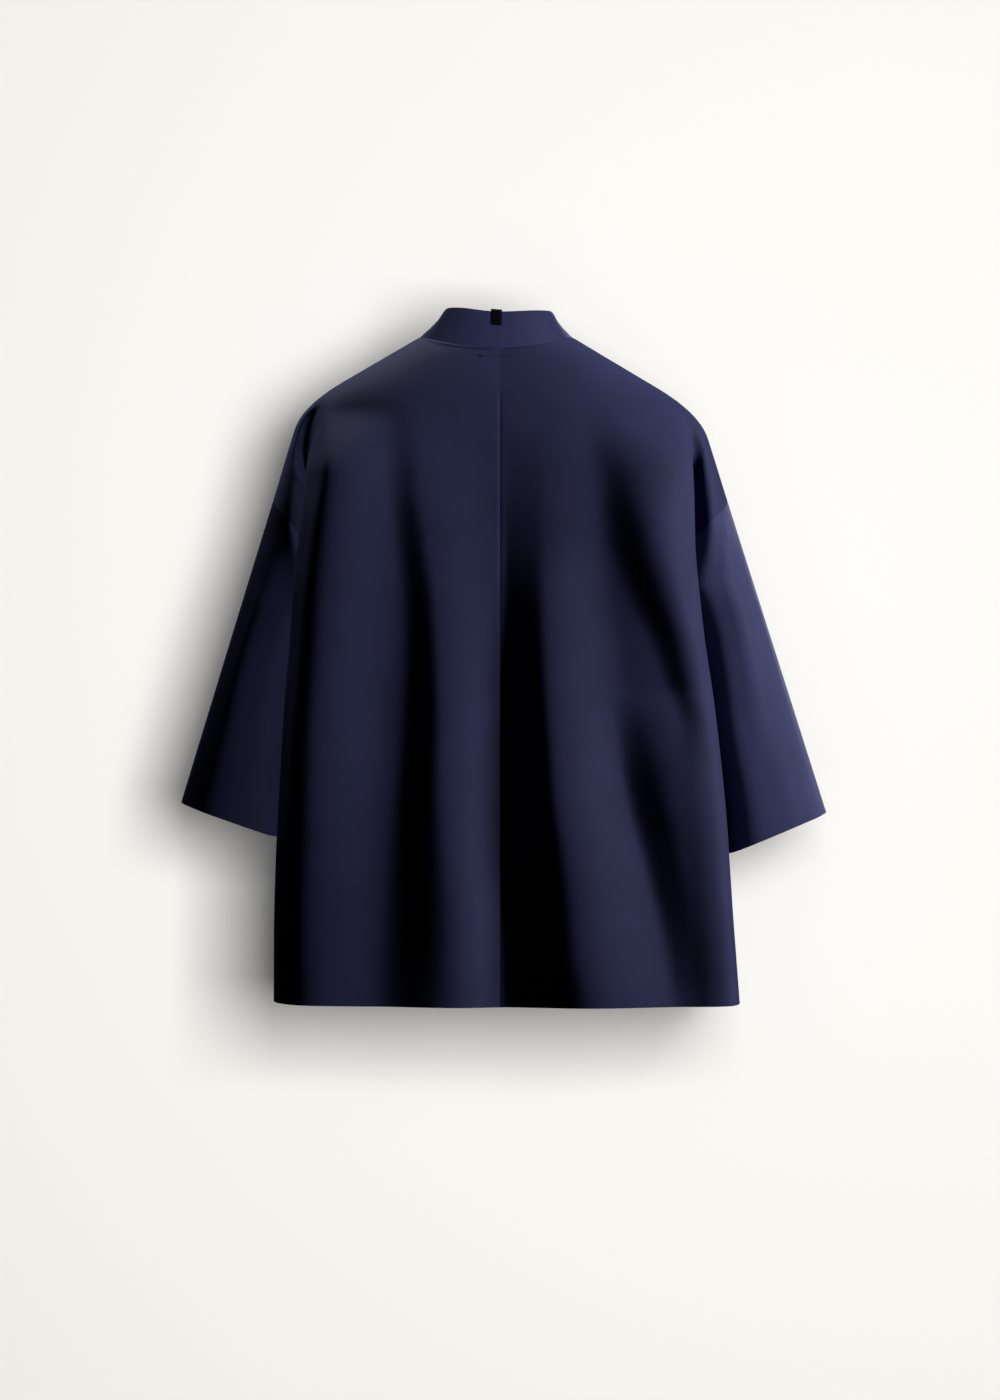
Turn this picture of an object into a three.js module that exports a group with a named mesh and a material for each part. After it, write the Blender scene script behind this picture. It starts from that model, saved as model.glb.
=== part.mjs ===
// A short haori jacket in the hollow form it has when worn, with its arms down, as a three.js scene graph.
// Sizes are in millimetres. +Z is up, +Y is the way the wearer faces, and +X is the wearer's right hand.
// The origin is on the underside of the back neck seam, where the nape and shoulders hold the jacket up.
// Each cloth piece is a closed wall cut from one shared surface, with a small gap at every seam.
import * as THREE from "three";

// Driving dimensions
const CLOTH = 2.0; // wall of the body and sleeves
const BAND_CLOTH = 3.0; // wall of the collar band, which is folded double
const SEAM_GAP = 0.56; // space between two pieces at a seam
const SLEEVE_CLEAR = 9; // space between the hanging sleeve and the body's side
const SLEEVE_SETTLE = { clear: 0.06, shape: 0.32 }; // shares of its length in which it swings clear and rounds out
const SLEEVE_LEAN_Y = 5; // how much further forward the sleeve's middle hangs than the arm's edge
const UNDERARM_EASE = { extra: 0.9, reach: 34 }; // more space round the sleeve where it folds under the arm
const UNDERARM_LEAN = { out: 0.42, down: 0.9 }; // the way the fold under the arm opens
const UNDERARM_ROOM = { reach: 16, drop: 18 }; // how the sleeve swings clear of the side seam
const NECK_Z = 14; // neck point of the shoulder, above the nape
const NECK_Y = 62; // neck point, in front of the nape
const NECK_CURVE = 2.2; // how late the back neck seam rises to the shoulder
const RIDGE_Y = { shoulder: 58, arm: 66 }; // depth of the shoulder ridge, and of the arm's outer edge
const BEND_SOFTNESS = 34; // rounding between the shoulder slope and the arm slope
const ARM_START = { x: 214.5, z: -108 }; // a point on the straight outer edge of the arm
const SEAM_TOP_Z = -146; // outer end of the armhole seam, dropped down the arm
const UNDERARM_Z = -235;
const ARMHOLE_DIP = 3; // how long the armhole seam stays level before it dives to the underarm
const ARMHOLE_SPREAD = 0.7; // how far the seam keeps from the valley beside the body on its way down
const HEM_Z = -647;
const BLADES = { depth: 33, drop: 112, ease: 0.9 }; // how the centre back leans out below the nape
const VALLEY_START_Z = -60; // above this the shoulder is one smooth oval
const VALLEY_FULL_Z = -125; // below this the tables give the section in full
const BACK_FLAT = { middle: 0.45, edge: 0.9, rise: 0.5, turn: 0.16 }; // how flat the back stays to its side fold
const FRONT_FLAT = { middle: 0.38, edge: 0.76, rise: 3, turn: 0.3 }; // and the front towards its corner
const OVAL_POWER = 2.3; // roundness of the shoulder's horizontal sections
const SLEEVE_POWER = 2.35; // roundness of the sleeve's sections
// Free edge of the band behind the neck: its height and depth at the centre back, the dip at its corner, how far
// it spreads towards the corner, and how it follows the neck seam forward.
const BAND = {
  backZ: 36, backY: 6, cornerDip: 4, dipStart: 0.82, level: 0.8, spread: 1.13, ease: 0.95, follow: 0.92, settle: 0.4,
};
const HEM_LIFT_Z = -300; // below this the hem is lifted towards the sides
const TAB = { x: -3.5, width: 11, drop: 14, wall: 1.0, clear: 0.5 };

// What differs between the two sides. SHOULDER_RUN and ARM_RUN are sideways travel for each millimetre down.
const RIGHT = {
  name: "right", sign: 1, neck: 73, shoulderRun: 1.667, armRun: 0.318,
  cuffZ: -460, cuffRise: 0.41, collarCorner: 53, collarTop: 38, hemLift: 4,
};
const LEFT = {
  name: "left", sign: -1, neck: 81, shoulderRun: 1.71, armRun: 0.305,
  cuffZ: -450, cuffRise: 0.36, collarCorner: 55, collarTop: 41, hemLift: 9,
};

// Body widths, one row for each height: depth of the centre back behind the nape, half-width on each side, and
// depth of the fold that the side of the back hangs in.
const BODY = [
  { z: -100, back: 33, right: 187, left: 187, ridgeY: -14 },
  { z: -150, back: 40, right: 194, left: 194, ridgeY: -20 },
  { z: -200, back: 42, right: 198, left: 197, ridgeY: -22 },
  { z: -235, back: 43, right: 201, left: 199, ridgeY: -23 },
  { z: -290, back: 44, right: 206, left: 202, ridgeY: -24 },
  { z: -350, back: 46, right: 212, left: 208, ridgeY: -26 },
  { z: -450, back: 51, right: 219, left: 212, ridgeY: -31 },
  { z: -560, back: 56, right: 226, left: 219, ridgeY: -36 },
  { z: -647, back: 60, right: 232, left: 219, ridgeY: -40 },
];

// The body's side: how far the flank and the side seam (above the underarm, the armhole valley) lie inside the
// fold, and their depths.
const FLANK = [
  { z: -100, flankIn: -4, flankY: 8, seamIn: -9, backSeamY: 18, frontSeamY: 99 },
  { z: -150, flankIn: 1, flankY: 6, seamIn: 5, backSeamY: 24, frontSeamY: 98 },
  { z: -200, flankIn: 11, flankY: 8, seamIn: 22, backSeamY: 44, frontSeamY: 84 },
  { z: -235, flankIn: 21, flankY: 14, seamIn: 33, backSeamY: 65, frontSeamY: 65 },
  { z: -290, flankIn: 15, flankY: 22, seamIn: 23, backSeamY: 66, frontSeamY: 66 },
  { z: -350, flankIn: 9, flankY: 30, seamIn: 14, backSeamY: 67, frontSeamY: 67 },
  { z: -450, flankIn: 5, flankY: 34, seamIn: 11, backSeamY: 68, frontSeamY: 68 },
  { z: -560, flankIn: 3, flankY: 36, seamIn: 9, backSeamY: 69, frontSeamY: 69 },
  { z: -647, flankIn: 2, flankY: 38, seamIn: 8, backSeamY: 70, frontSeamY: 70 },
];

// Front sections: the rounded corner between front and side, and the flank behind it.
const FRONT = [
  { z: -100, cornerX: 180, cornerY: 118, flankX: 189, flankY: 108 },
  { z: -150, cornerX: 184, cornerY: 128, flankX: 188, flankY: 112 },
  { z: -200, cornerX: 184, cornerY: 134, flankX: 181, flankY: 106 },
  { z: -235, cornerX: 184, cornerY: 138, flankX: 175, flankY: 102 },
  { z: -290, cornerX: 190, cornerY: 140, flankX: 184, flankY: 102 },
  { z: -350, cornerX: 198, cornerY: 142, flankX: 198, flankY: 104 },
  { z: -450, cornerX: 208, cornerY: 146, flankX: 211, flankY: 106 },
  { z: -560, cornerX: 217, cornerY: 150, flankX: 221, flankY: 108 },
  { z: -647, cornerX: 224, cornerY: 152, flankX: 228, flankY: 110 },
];

// Arm and sleeve sections: how far the back of the arm lies inside its outer edge, and its depth.
const ARM = [
  { z: -100, backIn: 7, backY: 26, frontY: 92 },
  { z: -150, backIn: 19, backY: 14, frontY: 108 },
  { z: -200, backIn: 33, backY: 12, frontY: 120 },
  { z: -235, backIn: 43, backY: 13, frontY: 127 },
  { z: -350, backIn: 46, backY: 10, frontY: 130 },
  { z: -500, backIn: 55, backY: 8, frontY: 136 },
];

// Front neck and front edge seam, where the collar band is sewn on, with the band's free edge beside it.
const FRONT_EDGE = [
  { z: 14, x: 73, y: 62, freeX: 53, freeY: 74, freeZ: 31 },
  { z: 5, x: 74, y: 86, freeX: 49, freeY: 99, freeZ: 14 },
  { z: -8, x: 73, y: 103, freeX: 44, freeY: 115, freeZ: -5 },
  { z: -35, x: 69, y: 124, freeX: 37, freeY: 133, freeZ: -34 },
  { z: -90, x: 61, y: 152, freeX: 25, freeY: 158, freeZ: -90 },
  { z: -160, x: 54, y: 172, freeX: 16, freeY: 176, freeZ: -160 },
  { z: -235, x: 51, y: 184, freeX: 12, freeY: 187, freeZ: -235 },
  { z: -350, x: 50, y: 188, freeX: 11, freeY: 191, freeZ: -350 },
  { z: -647, x: 54, y: 194, freeX: 15, freeY: 197, freeZ: -647 },
];

// Vertical folds, each with its crest x, its depth and the widths of its two flanks at three heights. LOW is
// the flank at smaller x and HIGH the one at larger x. SHARP is the side where it ends in a crease at the centre
// back seam. The fold fades in below START, and one with an END fades out above it.
const FOLD_HEIGHTS = [-150, -350, -647];
const FOLD_FADE = { start: 90, end: 100, from: 2.4, to: 3.4 }; // from and to are section points, towards the side
const BACK_FOLDS = [
  { crest: [-78, -60, -42], depth: [5, 12, 19], low: [34, 56, 105], high: [78, 60, 42], sharp: 1, start: -60 },
  { crest: [46, 50, 82], depth: [4, 13, 21], low: [46, 50, 82], high: [50, 62, 72], sharp: -1, start: -80 },
  { crest: [138, 194, 215], depth: [6, 13, 0], low: [44, 40, 40], high: [34, 30, 30], start: -50, end: -480 },
  { crest: [100, 140, 222], depth: [0, 6, 12], low: [38, 36, 46], high: [34, 32, 30], start: -290 },
];
const FRONT_FOLDS = [
  { crest: [108, 112, 120], depth: [2, 7, 12], low: [34, 40, 44], high: [34, 40, 46], start: -120 },
  { crest: [166, 174, 188], depth: [0, 4, 8], low: [24, 28, 32], high: [20, 26, 30], start: -180 },
  { crest: [-98, -106, -112], depth: [2, 6, 11], low: [34, 40, 48], high: [34, 38, 42], start: -130 },
  { crest: [-160, -166, -176], depth: [0, 5, 7], low: [24, 26, 30], high: [24, 28, 32], start: -200 },
];

// Rows of the body grid, from the neck point to the hem. The first five follow the back neck seam.
const NECK_STEPS = [1, 0.85, 0.66, 0.39, 0]; // share of the neck's half-width
const UPPER_ROWS = [-8, -17, -27, -38, -50, -63, -78, -94, -111, -128];
const ARMHOLE_TURNS = [0, 0.125, 0.25, 0.375, 0.5, 0.625, 0.75, 0.865, 0.935, 1]; // finer at the underarm
const SKIRT_ROWS = [-262, -292, -325, -361, -400, -441, -484, -527, -570, -610];
const SLEEVE_ROWS = 11;
const BACK_COLUMNS = [4, 4, 3, 1, 2]; // between the section's points, from centre back to the seam
const FRONT_COLUMNS = [2, 3, 3, 1, 2];
const ARM_COLUMNS = [2, 2];
const BAND_COLUMNS = 2;

const clamp = (v, low, high) => Math.min(high, Math.max(low, v));
const mix = (a, b, t) => a + (b - a) * t;

/** A smooth step from 0 at edge a to 1 at edge b. */
function step(a, b, v) {
  const t = clamp((v - a) / (b - a), 0, 1);
  return t * t * (3 - 2 * t);
}

/** One column of a table at height z, on a smooth curve through its rows. */
function column(table, name, z) {
  const last = table.length - 1;
  if (z >= table[0].z) return table[0][name];
  if (z <= table[last].z) return table[last][name];
  const i = table.findIndex((row, k) => k < last && z >= table[k + 1].z);
  const slope = (k) => {
    const a = table[Math.max(0, k - 1)];
    const b = table[Math.min(last, k + 1)];
    return (b[name] - a[name]) / (b.z - a.z);
  };
  const span = table[i + 1].z - table[i].z;
  const t = (z - table[i].z) / span;
  const t2 = t * t;
  const t3 = t2 * t;
  return (2 * t3 - 3 * t2 + 1) * table[i][name] + (t3 - 2 * t2 + t) * span * slope(i)
    + (3 * t2 - 2 * t3) * table[i + 1][name] + (t3 - t2) * span * slope(i + 1);
}

/** Half-width of the jacket's outline at height z: the shoulder slope and the arm slope, softly joined. */
function outline(side, z) {
  const shoulder = side.neck + side.shoulderRun * (NECK_Z - z);
  const arm = ARM_START.x + side.armRun * (ARM_START.z - z);
  const h = clamp(0.5 + (0.5 * (arm - shoulder)) / BEND_SOFTNESS, 0, 1);
  return mix(arm, shoulder, h) - BEND_SOFTNESS * h * (1 - h);
}

/** Depth of the shoulder ridge and the arm's outer edge at height z. */
function ridgeLineY(z) {
  const hanging = mix(RIDGE_Y.shoulder, RIDGE_Y.arm, step(VALLEY_START_Z, UNDERARM_Z, z));
  return hanging + (NECK_Y - RIDGE_Y.shoulder) * step(VALLEY_START_Z, NECK_Z, z);
}

/** How much the body is scaled on this side, so that each side keeps its own width. */
const sideScale = (side, z) => column(BODY, side.name, z) / column(BODY, "right", z);

/** Where a row starts: the back neck seam above the nape, and the centre back below it. */
function backStart(side, z) {
  if (z <= 0) {
    if (z < BODY[0].z) return [0, -column(BODY, "back", z)];
    const share = Math.min(1, -z / BLADES.drop) ** BLADES.ease;
    return [0, -BLADES.depth * Math.sin((Math.PI / 2) * share)];
  }
  const share = (z / NECK_Z) ** (1 / NECK_CURVE);
  return [side.neck * share, NECK_Y * (1 - Math.sqrt(Math.max(0, 1 - share * share)))];
}

/** Where a front row starts: the seam between the front and the collar band. */
function frontStart(side, z) {
  const widen = mix(1, side.neck / RIGHT.neck, step(-60, NECK_Z, z));
  return [column(FRONT_EDGE, "x", z) * widen, column(FRONT_EDGE, "y", z)];
}

/** A point of the smooth shoulder section: an oval from the row's start to its outer edge. */
function ovalPoint([x0, y0], [x1, y1], degrees) {
  const a = THREE.MathUtils.degToRad(degrees);
  const across = Math.sin(a) ** (2 / OVAL_POWER);
  const deep = Math.max(0, Math.cos(a)) ** (2 / OVAL_POWER);
  return [mix(x0, x1, across), mix(y1, y0, deep)];
}

const OVAL_ANGLES = [0, 20, 38, 54, 61, 68, 78, 90];

/** Depth of the side seam, or of the valley beside the arm above the underarm, where back and front differ. */
function seamY(face, z) {
  const [back, front] = [column(FLANK, "backSeamY", z), column(FLANK, "frontSeamY", z)];
  if (z < UNDERARM_Z) return (back + front) / 2;
  return face === "back" ? back : front;
}

/** Section points of the back at height z: centre, back, blade, fold, flank, seam, arm and outer edge. */
function backPoints(side, z) {
  const start = backStart(side, z);
  const edge = [outline(side, z), ridgeLineY(z)];
  const oval = OVAL_ANGLES.map((a) => ovalPoint(start, edge, a));
  const q = step(VALLEY_START_Z, VALLEY_FULL_Z, z);
  if (q === 0) return oval;
  const ridge = column(BODY, side.name, z);
  const ridgeY = column(BODY, "ridgeY", z);
  const k = sideScale(side, z);
  const full = [
    start,
    [BACK_FLAT.middle * ridge, start[1] + BACK_FLAT.rise],
    [BACK_FLAT.edge * ridge, mix(start[1], ridgeY, BACK_FLAT.turn)],
    [ridge, ridgeY],
    [ridge - column(FLANK, "flankIn", z) * k, column(FLANK, "flankY", z)],
    [ridge - column(FLANK, "seamIn", z) * k, seamY("back", z)],
    [edge[0] - column(ARM, "backIn", z), column(ARM, "backY", z)],
    edge,
  ];
  return full.map((p, i) => [mix(oval[i][0], p[0], q), mix(oval[i][1], p[1], q)]);
}

/** Section points of the front at height z, in the same order, from the band seam to the outer edge. */
function frontPoints(side, z) {
  const start = frontStart(side, z);
  const edge = [outline(side, z), ridgeLineY(z)];
  const oval = OVAL_ANGLES.map((a) => ovalPoint(start, edge, a));
  const q = step(VALLEY_START_Z, VALLEY_FULL_Z, z);
  if (q === 0) return oval;
  const k = sideScale(side, z);
  const corner = [column(FRONT, "cornerX", z) * k, column(FRONT, "cornerY", z)];
  const seamX = column(BODY, side.name, z) - column(FLANK, "seamIn", z) * k;
  const full = [
    start,
    [mix(start[0], corner[0], FRONT_FLAT.middle), start[1] + FRONT_FLAT.rise],
    [mix(start[0], corner[0], FRONT_FLAT.edge), mix(start[1], corner[1], FRONT_FLAT.turn)],
    corner,
    [column(FRONT, "flankX", z) * k, column(FRONT, "flankY", z)],
    [seamX, seamY("front", z)],
    [edge[0] - column(ARM, "backIn", z), column(ARM, "frontY", z)],
    edge,
  ];
  return full.map((p, i) => [mix(oval[i][0], p[0], q), mix(oval[i][1], p[1], q)]);
}

/** A point on the smooth curve through a section's points; s counts points, and two more steer its ends. */
function onSection(points, before, after, s) {
  const all = [before, ...points, after].map(([x, y]) => new THREE.Vector3(x, y, 0));
  const curve = new THREE.CatmullRomCurve3(all, false, "centripetal");
  const p = curve.getPoint((s + 1) / (all.length - 1));
  return [p.x, p.y];
}

const SEAM_POINT = 5; // the section point that lies in the valley or on the side seam
const OUTER_POINT = 7; // the section point at the outer edge of the shoulder

/** A point of the back's or front's section: u is 0 to 5 from the centre to the seam, and 7 at the outer edge. */
function sectionAt(side, face, z, u) {
  const own = face === "back" ? backPoints(side, z) : frontPoints(side, z);
  const other = face === "back" ? frontPoints(side, z) : backPoints(side, z);
  const before = [2 * own[0][0] - own[1][0], own[1][1]];
  if (z < UNDERARM_Z) return onSection(own.slice(0, SEAM_POINT + 1), before, other[SEAM_POINT - 1], u);
  const edge = own[own.length - 1];
  return onSection(own, before, [own[6][0], 2 * edge[1] - own[6][1]], u);
}

/** A fold's values at height z, through its three heights. */
function foldAt(values, z) {
  const rows = FOLD_HEIGHTS.map((h, i) => ({ z: h, v: values[i] }));
  return column(rows, "v", z);
}

/** How far the folds stand out of the cloth at x, z. */
function foldRelief(folds, x, z) {
  let sum = 0;
  for (const fold of folds) {
    const begun = step(fold.start, fold.start - FOLD_FADE.start, z);
    const ended = fold.end ? 1 - step(fold.end + FOLD_FADE.end, fold.end, z) : 1;
    const away = x - foldAt(fold.crest, z);
    const share = Math.abs(away) / foldAt(away < 0 ? fold.low : fold.high, z);
    if (share >= 1) continue;
    const sharp = fold.sharp && Math.sign(away) === fold.sharp;
    const shape = sharp ? Math.cos((Math.PI / 2) * share) : (1 + Math.cos(Math.PI * share)) / 2;
    sum += Math.max(0, foldAt(fold.depth, z)) * begun * ended * shape;
  }
  return sum;
}

/** Height of a body point after the hem is lifted a little towards the sides; share is 1 at the side seam. */
const hung = (side, z, share) => z + side.hemLift * step(HEM_LIFT_Z, HEM_Z, z) * share * share;

/** A point of the body's outer surface. */
function bodyPoint(side, face, z, u) {
  const [x, y] = sectionAt(side, face, z, u);
  const fade = step(FOLD_FADE.to, FOLD_FADE.from, u);
  const relief = foldRelief(face === "back" ? BACK_FOLDS : FRONT_FOLDS, side.sign * x, z) * fade;
  const share = face === "back" ? clamp(u / SEAM_POINT, 0, 1) : 1;
  return new THREE.Vector3(side.sign * x, y + (face === "back" ? -relief : relief), hung(side, z, share));
}

/** How far out a turn of the sleeve lies, from 1 at the outer edge to 0 at the underarm. */
const reachOf = (turn) => (1 + Math.cos(Math.PI * turn)) / 2;

/** Height of the armhole seam at a turn of the sleeve. */
const armholeZ = (turn) => mix(UNDERARM_Z, SEAM_TOP_Z, reachOf(turn) ** (1 / ARMHOLE_DIP));

/** Section place of the armhole seam at a turn of the sleeve. */
const armholePlace = (turn) => mix(SEAM_POINT, OUTER_POINT, reachOf(turn) ** ARMHOLE_SPREAD);

/** A point of the armhole seam. */
const armholePoint = (side, face, turn) => bodyPoint(side, face, armholeZ(turn), armholePlace(turn));

/** A point of the sleeve's own section at height z and turn, 0 outside, 1 at the body. */
function sleeveRing(side, face, z, turn) {
  const outer = outline(side, z);
  const k = sideScale(side, z);
  const room = UNDERARM_ROOM.reach * (1 - Math.exp(Math.min(0, z - UNDERARM_Z) / UNDERARM_ROOM.drop));
  const inner = column(BODY, side.name, z) - column(FLANK, "seamIn", z) * k + room;
  const middle = ridgeLineY(z) + SLEEVE_LEAN_Y * step(SEAM_TOP_Z, HEM_LIFT_Z, z);
  const depth = face === "back" ? middle - column(ARM, "backY", z) : column(ARM, "frontY", z) - middle;
  const c = Math.cos(Math.PI * turn);
  const s = Math.sin(Math.PI * turn);
  const x = (outer + inner) / 2 + ((outer - inner) / 2) * Math.sign(c) * Math.abs(c) ** (2 / SLEEVE_POWER);
  const y = middle + (face === "back" ? -depth : depth) * Math.abs(s) ** (2 / SLEEVE_POWER);
  return new THREE.Vector3(side.sign * x, y, z);
}

/** Where the body's side lies at height z and depth y, between the back fold and the front corner. */
function bodySideX(side, z, y) {
  const face = y < seamY("back", z) ? "back" : "front";
  if (face === "front" && y < seamY("front", z)) return sectionAt(side, face, z, SEAM_POINT)[0];
  let [low, high] = [3, SEAM_POINT];
  for (let i = 0; i < 18; i++) {
    const u = (low + high) / 2;
    const passed = face === "back" ? sectionAt(side, face, z, u)[1] > y : sectionAt(side, face, z, u)[1] < y;
    if (passed) high = u;
    else low = u;
  }
  return sectionAt(side, face, z, low)[0];
}

/** A point of the sleeve: v is 0 at the armhole seam and 1 at the cuff, which slants in line with the arm. */
function sleevePoint(side, face, turn, v) {
  const seam = armholePoint(side, face, turn);
  const corner = outline(side, side.cuffZ);
  let low = sleeveRing(side, face, side.cuffZ, turn);
  for (let i = 0; i < 4; i++) {
    const cuffZ = side.cuffZ - side.cuffRise * (corner - Math.abs(low.x));
    low = sleeveRing(side, face, cuffZ, turn);
  }
  const drift = seam.clone().sub(sleeveRing(side, face, seam.z, turn));
  const z = mix(seam.z, low.z, v);
  const p = sleeveRing(side, face, z, turn).addScaledVector(drift, 1 - step(0, SLEEVE_SETTLE.shape, v));
  if (v > 0 && turn > 0.5) {
    const clear = SLEEVE_CLEAR * (1 - Math.exp(-v / SLEEVE_SETTLE.clear));
    p.x = side.sign * Math.max(Math.abs(p.x), bodySideX(side, z, p.y) + clear);
  }
  return p;
}

/** A cloth surface being gathered: its points, shared where they meet, and its triangles. */
class Sheet {
  constructor(name, wall, colour) {
    Object.assign(this, { name, wall, colour, points: [], faces: [], index: new Map() });
  }

  /** The number of a point, which is the same for points that coincide. */
  add(p) {
    const key = keyOf(p);
    if (!this.index.has(key)) {
      this.index.set(key, this.points.length);
      this.points.push(p.clone());
    }
    return this.index.get(key);
  }

  /** Joins a grid of points by triangles, leaving out those that close up to a line. */
  grid(rows, flip) {
    const ids = rows.map((row) => row.map((p) => this.add(p)));
    for (let i = 0; i + 1 < ids.length; i++)
      for (let j = 0; j + 1 < ids[i].length; j++) {
        const [a, b, c, d] = [ids[i][j], ids[i][j + 1], ids[i + 1][j + 1], ids[i + 1][j]];
        for (const [p, q, r] of [[a, d, c], [a, c, b]])
          if (p !== q && q !== r && r !== p) this.faces.push(flip ? [p, r, q] : [p, q, r]);
      }
    return this;
  }
}

const keyOf = (p) => [p.x, p.y, p.z].map((v) => Math.round(v * 50)).join(",");

/** The directed edges of a sheet that no triangle of its own runs back along. */
function rimOf(sheet) {
  const directed = new Set();
  for (const [a, b, c] of sheet.faces) for (const [p, q] of [[a, b], [b, c], [c, a]]) directed.add(`${p},${q}`);
  return [...directed].map((e) => e.split(",").map(Number)).filter(([p, q]) => !directed.has(`${q},${p}`));
}

/** What neighbouring sheets share: one normal at each point, and the rim edges that are seams. */
function sharedSeams(sheets) {
  const normals = new Map();
  const rims = new Set();
  for (const sheet of sheets) {
    for (const face of sheet.faces) {
      const corners = face.map((v) => sheet.points[v]);
      const n = new THREE.Triangle(...corners).getNormal(new THREE.Vector3());
      corners.forEach((v, i) => {
        const angle = corners[(i + 1) % 3].clone().sub(v).angleTo(corners[(i + 2) % 3].clone().sub(v));
        if (!normals.has(keyOf(v))) normals.set(keyOf(v), new THREE.Vector3());
        normals.get(keyOf(v)).addScaledVector(n, angle);
      });
    }
    for (const [p, q] of rimOf(sheet)) rims.add(`${keyOf(sheet.points[p])}>${keyOf(sheet.points[q])}`);
  }
  // The underarm is a fold that opens downwards and out, and its walls are steered that way.
  for (const side of [RIGHT, LEFT]) {
    const lean = new THREE.Vector3(UNDERARM_LEAN.out * side.sign, 0, -UNDERARM_LEAN.down);
    normals.set(keyOf(armholePoint(side, "back", 1)), lean);
  }
  for (const n of normals.values()) n.normalize();
  return { normals, rims };
}

/** Turns a sheet into a closed wall: its outer face, an inner face behind it, and edges between them. */
function wallOf(sheet, { normals, rims }) {
  const count = sheet.points.length;
  const keys = sheet.points.map(keyOf);
  const normalOf = (i) => normals.get(keys[i]);
  const rim = rimOf(sheet);
  // At a seam the rim moves into its own sheet by half the gap, square to each seam edge it belongs to.
  const pulls = new Map();
  for (const [p, q] of rim) {
    if (!rims.has(`${keys[q]}>${keys[p]}`)) continue;
    const along = sheet.points[q].clone().sub(sheet.points[p]);
    for (const i of [p, q]) {
      const into = normalOf(i).clone().cross(along).normalize();
      if (!pulls.has(i)) pulls.set(i, []);
      pulls.get(i).push(into);
    }
  }
  const outer = sheet.points.map((p, i) => {
    const [first, second] = pulls.get(i) ?? [];
    if (!first) return p.clone();
    const near = sheet.tight ? step(UNDERARM_EASE.reach, 0, p.distanceTo(sheet.tight)) : 0;
    const pull = SEAM_GAP / 2 + UNDERARM_EASE.extra * near;
    if (!second) return p.clone().addScaledVector(first, pull);
    return p.clone().addScaledVector(first.clone().add(second), pull / Math.max(0.12, 1 + first.dot(second)));
  });
  const inner = outer.map((p, i) => p.clone().addScaledVector(normalOf(i), -sheet.wall));
  const positions = [...outer, ...inner].flatMap((p) => [p.x, p.y, p.z]);
  const index = [];
  for (const [a, b, c] of sheet.faces) index.push(a, b, c, a + count, c + count, b + count);
  // Both sides of a seam split their edge faces along the same diagonal.
  for (const [p, q] of rim) {
    if (keys[p] < keys[q]) index.push(p, p + count, q + count, p, q + count, q);
    else index.push(p, p + count, q, q, p + count, q + count);
  }
  return meshOf(sheet.name, positions, index, sheet.colour);
}

/** A named mesh with its own cloth material. */
function meshOf(name, positions, index, colour) {
  const geometry = new THREE.BufferGeometry();
  geometry.setAttribute("position", new THREE.Float32BufferAttribute(positions, 3));
  geometry.setIndex(index);
  geometry.computeVertexNormals();
  const material = new THREE.MeshStandardMaterial({ color: colour, roughness: 0.85, metalness: 0 });
  const mesh = new THREE.Mesh(geometry, material);
  mesh.name = name;
  return mesh;
}

/** Places along a section, as many between each two points as the counts say. */
function places(counts, from) {
  const list = [from];
  counts.forEach((n, i) => {
    for (let j = 1; j <= n; j++) list.push(from + i + j / n);
  });
  return list;
}

const neckRows = NECK_STEPS.map((share) => NECK_Z * share ** NECK_CURVE);
const armholeRows = ARMHOLE_TURNS.map(armholeZ);
const topRows = [...neckRows, ...UPPER_ROWS];
const ALL_ROWS = [...topRows, ...armholeRows, ...SKIRT_ROWS, HEM_Z];

/** A body panel: the part over the torso, and the dropped shoulder from the valley out to the armhole seam. */
function bodyPanel(side, face) {
  const sheet = new Sheet(`${face}_${side.name}`, CLOTH, "#262a4c");
  const flip = (face === "back") !== (side.sign > 0);
  const torso = places(face === "back" ? BACK_COLUMNS : FRONT_COLUMNS, 0);
  sheet.grid(ALL_ROWS.map((z) => torso.map((u) => bodyPoint(side, face, z, u))), flip);
  const arm = places(ARM_COLUMNS, 0).map((u) => u / ARM_COLUMNS.length);
  const armRow = (z, end) => arm.map((t) => bodyPoint(side, face, z, mix(SEAM_POINT, end, t)));
  const shoulder = [...topRows, SEAM_TOP_Z].map((z) => armRow(z, OUTER_POINT));
  const wedge = ARMHOLE_TURNS.slice(1).map((turn) => armRow(armholeZ(turn), armholePlace(turn)));
  return sheet.grid([...shoulder, ...wedge], flip);
}

/** A sleeve: one tube from the armhole seam to the open cuff. */
function sleeve(side) {
  const sheet = new Sheet(`sleeve_${side.name}`, CLOTH, "#242848");
  const rows = Array.from({ length: SLEEVE_ROWS + 1 }, (_, i) => (i / SLEEVE_ROWS) ** 1.15).map((v) => [
    ...ARMHOLE_TURNS.map((turn) => sleevePoint(side, "back", turn, v)),
    ...ARMHOLE_TURNS.slice(0, -1).reverse().map((turn) => sleevePoint(side, "front", turn, v)),
  ]);
  sheet.tight = armholePoint(side, "back", 1);
  return sheet.grid(rows, side.sign > 0);
}

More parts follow.
